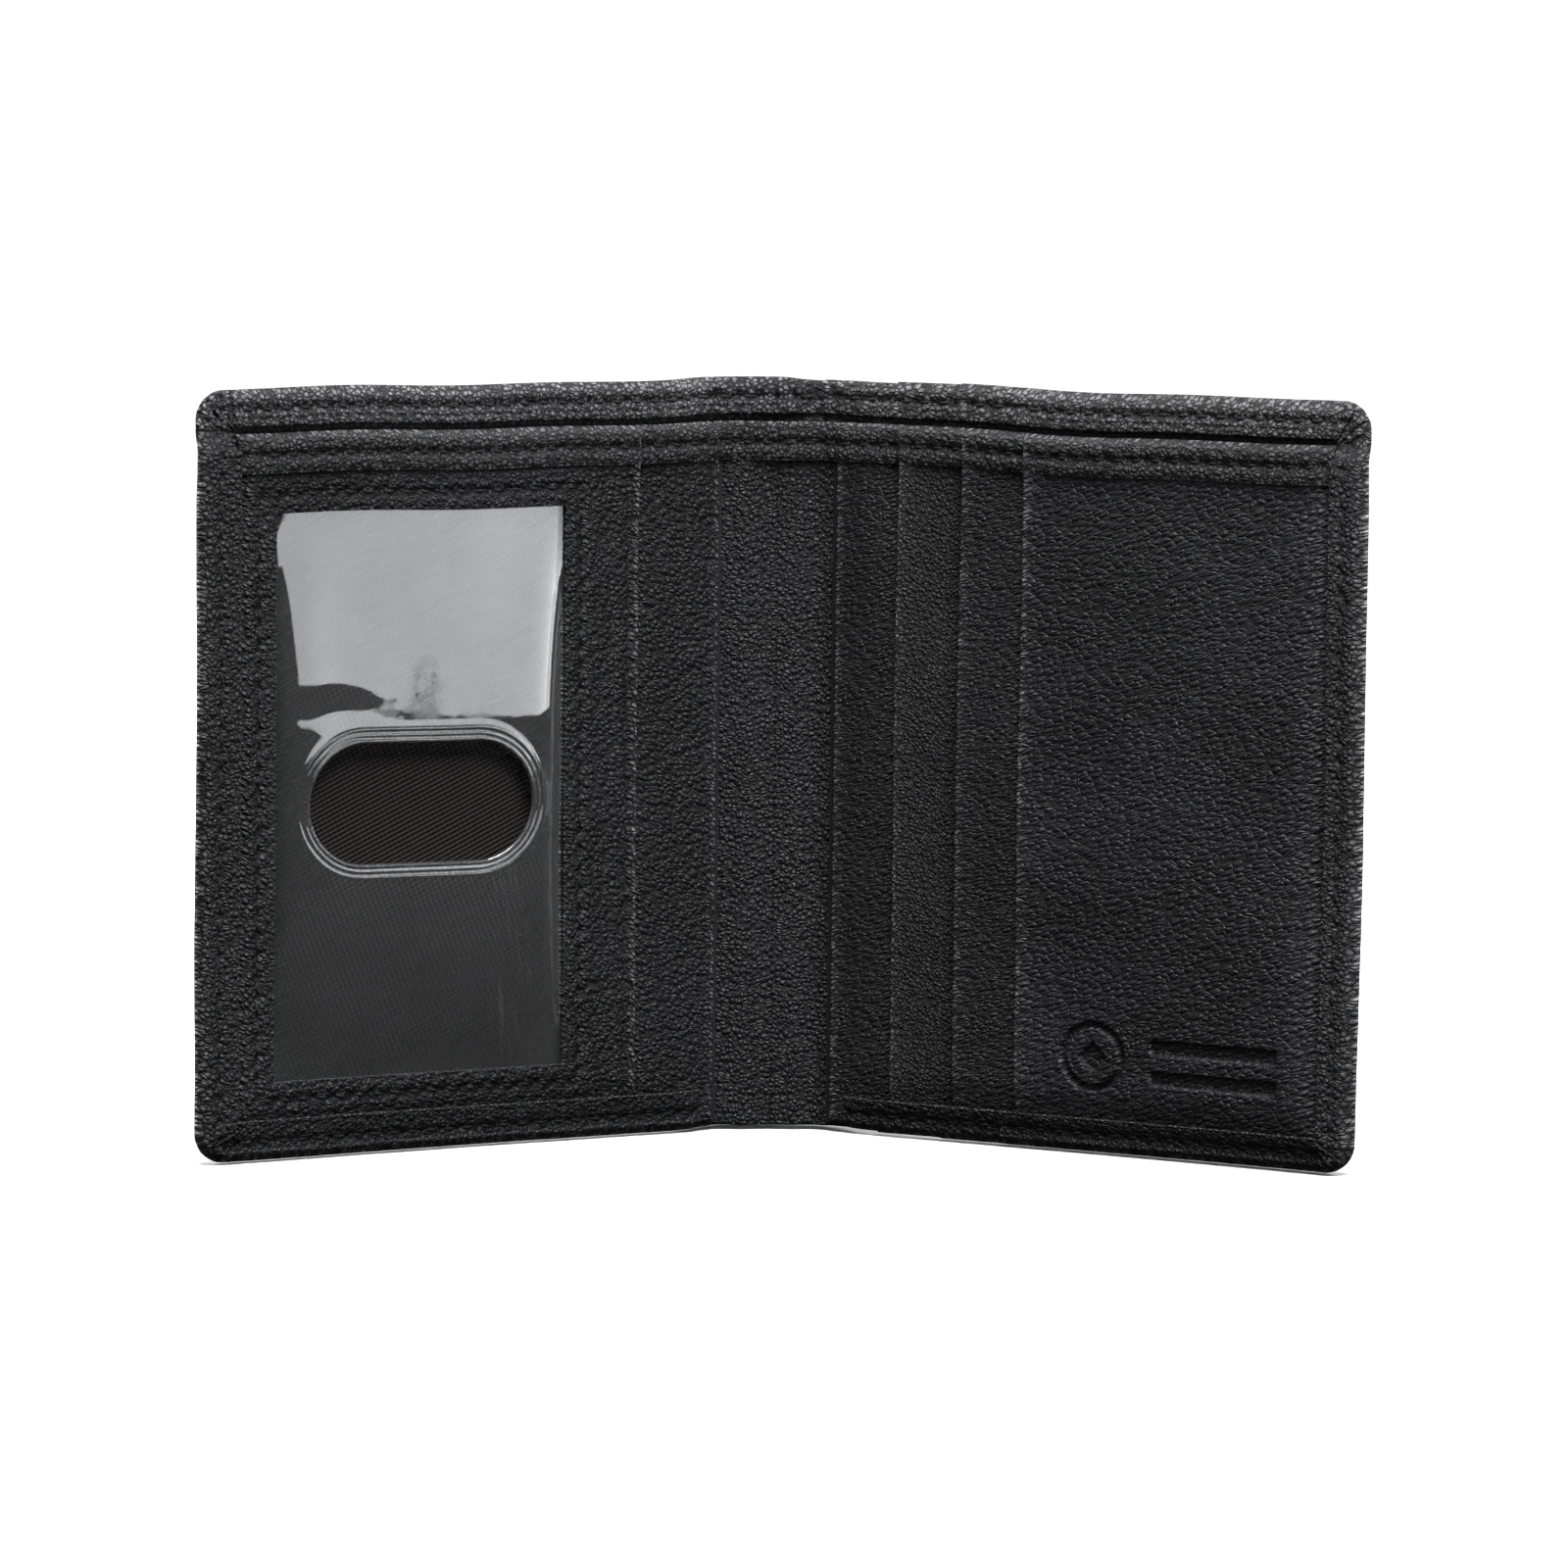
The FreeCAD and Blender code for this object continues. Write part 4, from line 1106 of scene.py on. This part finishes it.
def seam(skin, start, end, depth, outward):
    """Adds a row of twisted, slightly arched stitches along a seam on the surface depth(u, z)."""
    (u0, z0), (u1, z1) = start, end
    length = math.hypot(u1 - u0, z1 - z0)
    step = ((u1 - u0) / length, (z1 - z0) / length)
    phase = ((u0 + z0) if step[0] + step[1] > 0 else -(u0 + z0)) % PITCH
    count = int(length // PITCH)
    taus = np.linspace(0, 1, 8)
    phis = np.linspace(0, math.tau, 9)[:-1]
    for i in range(count):
        middle = i * PITCH + (PITCH - phase) % PITCH
        if middle < STITCH_RUN / 2 or middle > length - STITCH_RUN / 2:
            continue
        along = middle + (taus - 0.5) * STITCH_RUN
        pu, pz = u0 + step[0] * along, z0 + step[1] * along
        arch = 0.50 * np.sqrt(np.clip(np.sin(math.pi * taus), 0, 1)) - 0.42
        centre = depth(pu, pz) + outward * arch
        radius = THREAD_RADIUS * (0.55 + 0.45 * np.sin(math.pi * taus) ** 0.4)
        twist = phis[None, :] - 5.0 * taus[:, None]
        r = radius[:, None] * (1 + 0.22 * np.cos(2 * twist))
        across, rise = r * np.cos(phis)[None, :], r * np.sin(phis)[None, :]
        u = pu[:, None] - step[1] * across
        z = pz[:, None] + step[0] * across
        rows = skin.add(u, centre[:, None] + outward * rise, z)
        skin.quads(closed(rows), flip=outward < 0)
        for cap, flip in ((rows[0], outward > 0), (rows[-1], outward < 0)):
            skin.quads(np.array([cap[[0, 7, 6, 5]], cap[1:5]]), flip=flip)


def seams(name, side, zone, rows, nodes):
    skin = Skin(side, zone or OUTER_ZONE)
    for row in rows:
        seam(skin, *row)
    return finish_piece(skin.build(name, THREAD), side, zone, nodes)


TOP_SEAM = HEIGHT - SEAM
SIDE_SEAM = WIDTH - SEAM
SEAM_START = MIDDLE + 0.2


def side_seam(depth, outward):
    return (SIDE_SEAM, SEAM + TURN_BACK), (SIDE_SEAM, TOP_SEAM - TURN_BACK), depth, outward


def left_seams():
    inside, outside = hem_face(LEFT), outer_face(COVER_DEPTH, SPINE_DEPTH)
    rows = []
    for depth, outward, start in ((inside, -1, 1.2), (outside, 1, SEAM_START)):
        rows += [((start, SEAM), (SIDE_SEAM, SEAM), depth, outward), side_seam(depth, outward),
                 ((SEAM_START, TOP_SEAM), (SIDE_SEAM, TOP_SEAM), depth, outward)]
    seams("left_edge_thread", LEFT, OUTER_ZONE, rows, ["left_perimeter_stitching", "spine_stitching"])


def right_seams():
    """The rows stop at each outside pocket's mouth, and go on at the next one's depth."""
    faces = [(outer_face(BASE_DEPTH, SPINE_DEPTH), hem_face(RIGHT, 0.35))]
    faces += [pocket_faces(i) for i in range(len(OUTER_POCKETS))]
    edges = [SEAM_START, *OUTER_MOUTHS, SIDE_SEAM]
    rows = []
    for i, (outside, inside) in enumerate(faces):
        begin, end = edges[i] + 0.9, edges[i + 1] - 0.2
        for at in (SEAM, TOP_SEAM):
            rows.append(((begin, at), (end, at), outside, 1))
            if at > SEAM or i > 1:
                rows.append(((begin, at), (end, at), inside, -1))
    rows += [side_seam(outside, 1), side_seam(inside, -1)]
    seams("right_edge_thread", RIGHT, OUTER_ZONE, rows, ["right_perimeter_stitching", "spine_stitching"])


def binding_seam(side, word):
    at = INNER_TOP - BINDING_SEAM
    row = ((SEAM_START, at), (WIDTH - SIDE_HEM[side] - 0.5, at), binding_front(side), -1)
    seams(word + "_binding_thread", side, INNER_ZONE, [row],
          [word + "_binding_stitching", "gutter_binding_stitching"])


def window_seams():
    u0, u1 = WINDOW[0] - WINDOW_SEAM, WINDOW[1] + WINDOW_SEAM
    z0, z1 = WINDOW[2] - WINDOW_SEAM, WINDOW[3] + WINDOW_SEAM
    rows = [((u0, z), (u1, z), frame_front, -1) for z in (z0, z1)]
    rows += [((u, z0 + 1), (u, z1 - 1), frame_front, -1) for u in (u0, u1)]
    seams("window_thread", LEFT, None, rows, ["id_window_stitching"])
    mouth = SPAN["id_window_frame"].u0 + MOUTH_SEAM
    seams("mouth_thread", LEFT, None, [((mouth, 6.5), (mouth, BINDING_FOOT - 0.5), frame_front, -1)],
          ["id_mouth_stitching"])


left_seams()
right_seams()
binding_seam(LEFT, "left")
binding_seam(RIGHT, "right")
window_seams()


# ---- floor, light and camera ----


FLOOR_GAP = 0.0002


def floor():
    n = Nodes("pale_floor")
    n.fill(n.shader, {"Base Color": (0.9, 0.9, 0.9, 1), "Roughness": 0.9, "Specular IOR Level": 0.1})
    mesh = bpy.data.meshes.new("floor")
    far = 30.0  # metres
    mesh.from_pydata([(-far, -far, 0), (far, -far, 0), (far, far, 0), (-far, far, 0)], [], [(0, 1, 2, 3)])
    mesh.materials.append(n.material)
    piece = new_object("floor", mesh)
    piece.location.z = -FLOOR_GAP
    piece.visible_glossy = False  # the floor doesn't light or show in the black leather
    piece.visible_diffuse = False
    piece.visible_transmission = False


def lamp(name, kind, **values):
    data = bpy.data.lights.new(name, kind)
    for key, value in values.items():
        setattr(data, key, value)
    return new_object(name, data)


def sky():
    """A wide soft light from above, leaned a little, the same over the whole floor."""
    item = lamp("sky", "SUN", angle=math.radians(35), energy=3.9)
    item.rotation_euler = (math.radians(14), math.radians(3), 0)


def area_light(name, at, look, size, power, colour=(1, 1, 1)):
    width, height = size
    item = lamp(name, "AREA", color=colour, shape="RECTANGLE", size=width, size_y=height, energy=power)
    item.location = at
    item.visible_camera = False
    aim(item, look)


def aim(item, look, roll=0.0):
    """Turns a light or camera so that its -Z axis points at look."""
    item.rotation_mode = "QUATERNION"
    towards = (Vector(look) - item.location).to_track_quat("-Z", "Y")
    item.rotation_quaternion = towards @ Matrix.Rotation(roll, 3, "Z").to_quaternion()


def camera():
    azimuth, elevation, roll = math.radians(-1.24), math.radians(6.48), math.radians(0.72)
    distance = 1.3
    look = (0.00141, HINGE_Y * MM, 0.04995)
    data = bpy.data.cameras.new("camera")
    data.sensor_width = 36
    data.lens = 208.3
    data.clip_end = 100
    item = new_object("camera", data)
    item.location = (look[0] + distance * math.sin(azimuth) * math.cos(elevation),
                     look[1] - distance * math.cos(azimuth) * math.cos(elevation),
                     look[2] + distance * math.sin(elevation))
    aim(item, look, roll)
    bpy.context.scene.camera = item


def world():
    made = bpy.data.worlds.new("studio")
    made.use_nodes = True
    background = made.node_tree.nodes["Background"]
    background.inputs["Color"].default_value = (1, 1, 1, 1)
    background.inputs["Strength"].default_value = 0.04
    bpy.context.scene.world = made


floor()
sky()
area_light("key", at=(0.09, -0.25, 0.44), look=(0.01, -0.03, 0.09), size=(0.30, 0.16), power=2.9)
area_light("right_panel", at=(0.784, -0.594, 0.165), look=(-0.045, -0.035, 0.165), size=(0.80, 0.30),
           power=3.2, colour=(0.955, 0.98, 1.0))
area_light("back_left", at=(-0.62, 0.45, 0.42), look=(0, 0, 0.05), size=(0.4, 0.4), power=8)
area_light("back_right", at=(0.62, 0.45, 0.42), look=(0, 0, 0.05), size=(0.4, 0.4), power=8)
area_light("left_panel", at=(-0.85, -0.62, 0.45), look=(0.05, -0.03, 0.06), size=(0.5, 0.5), power=1.9)
world()
bpy.context.scene.view_settings.view_transform = "Standard"
camera()
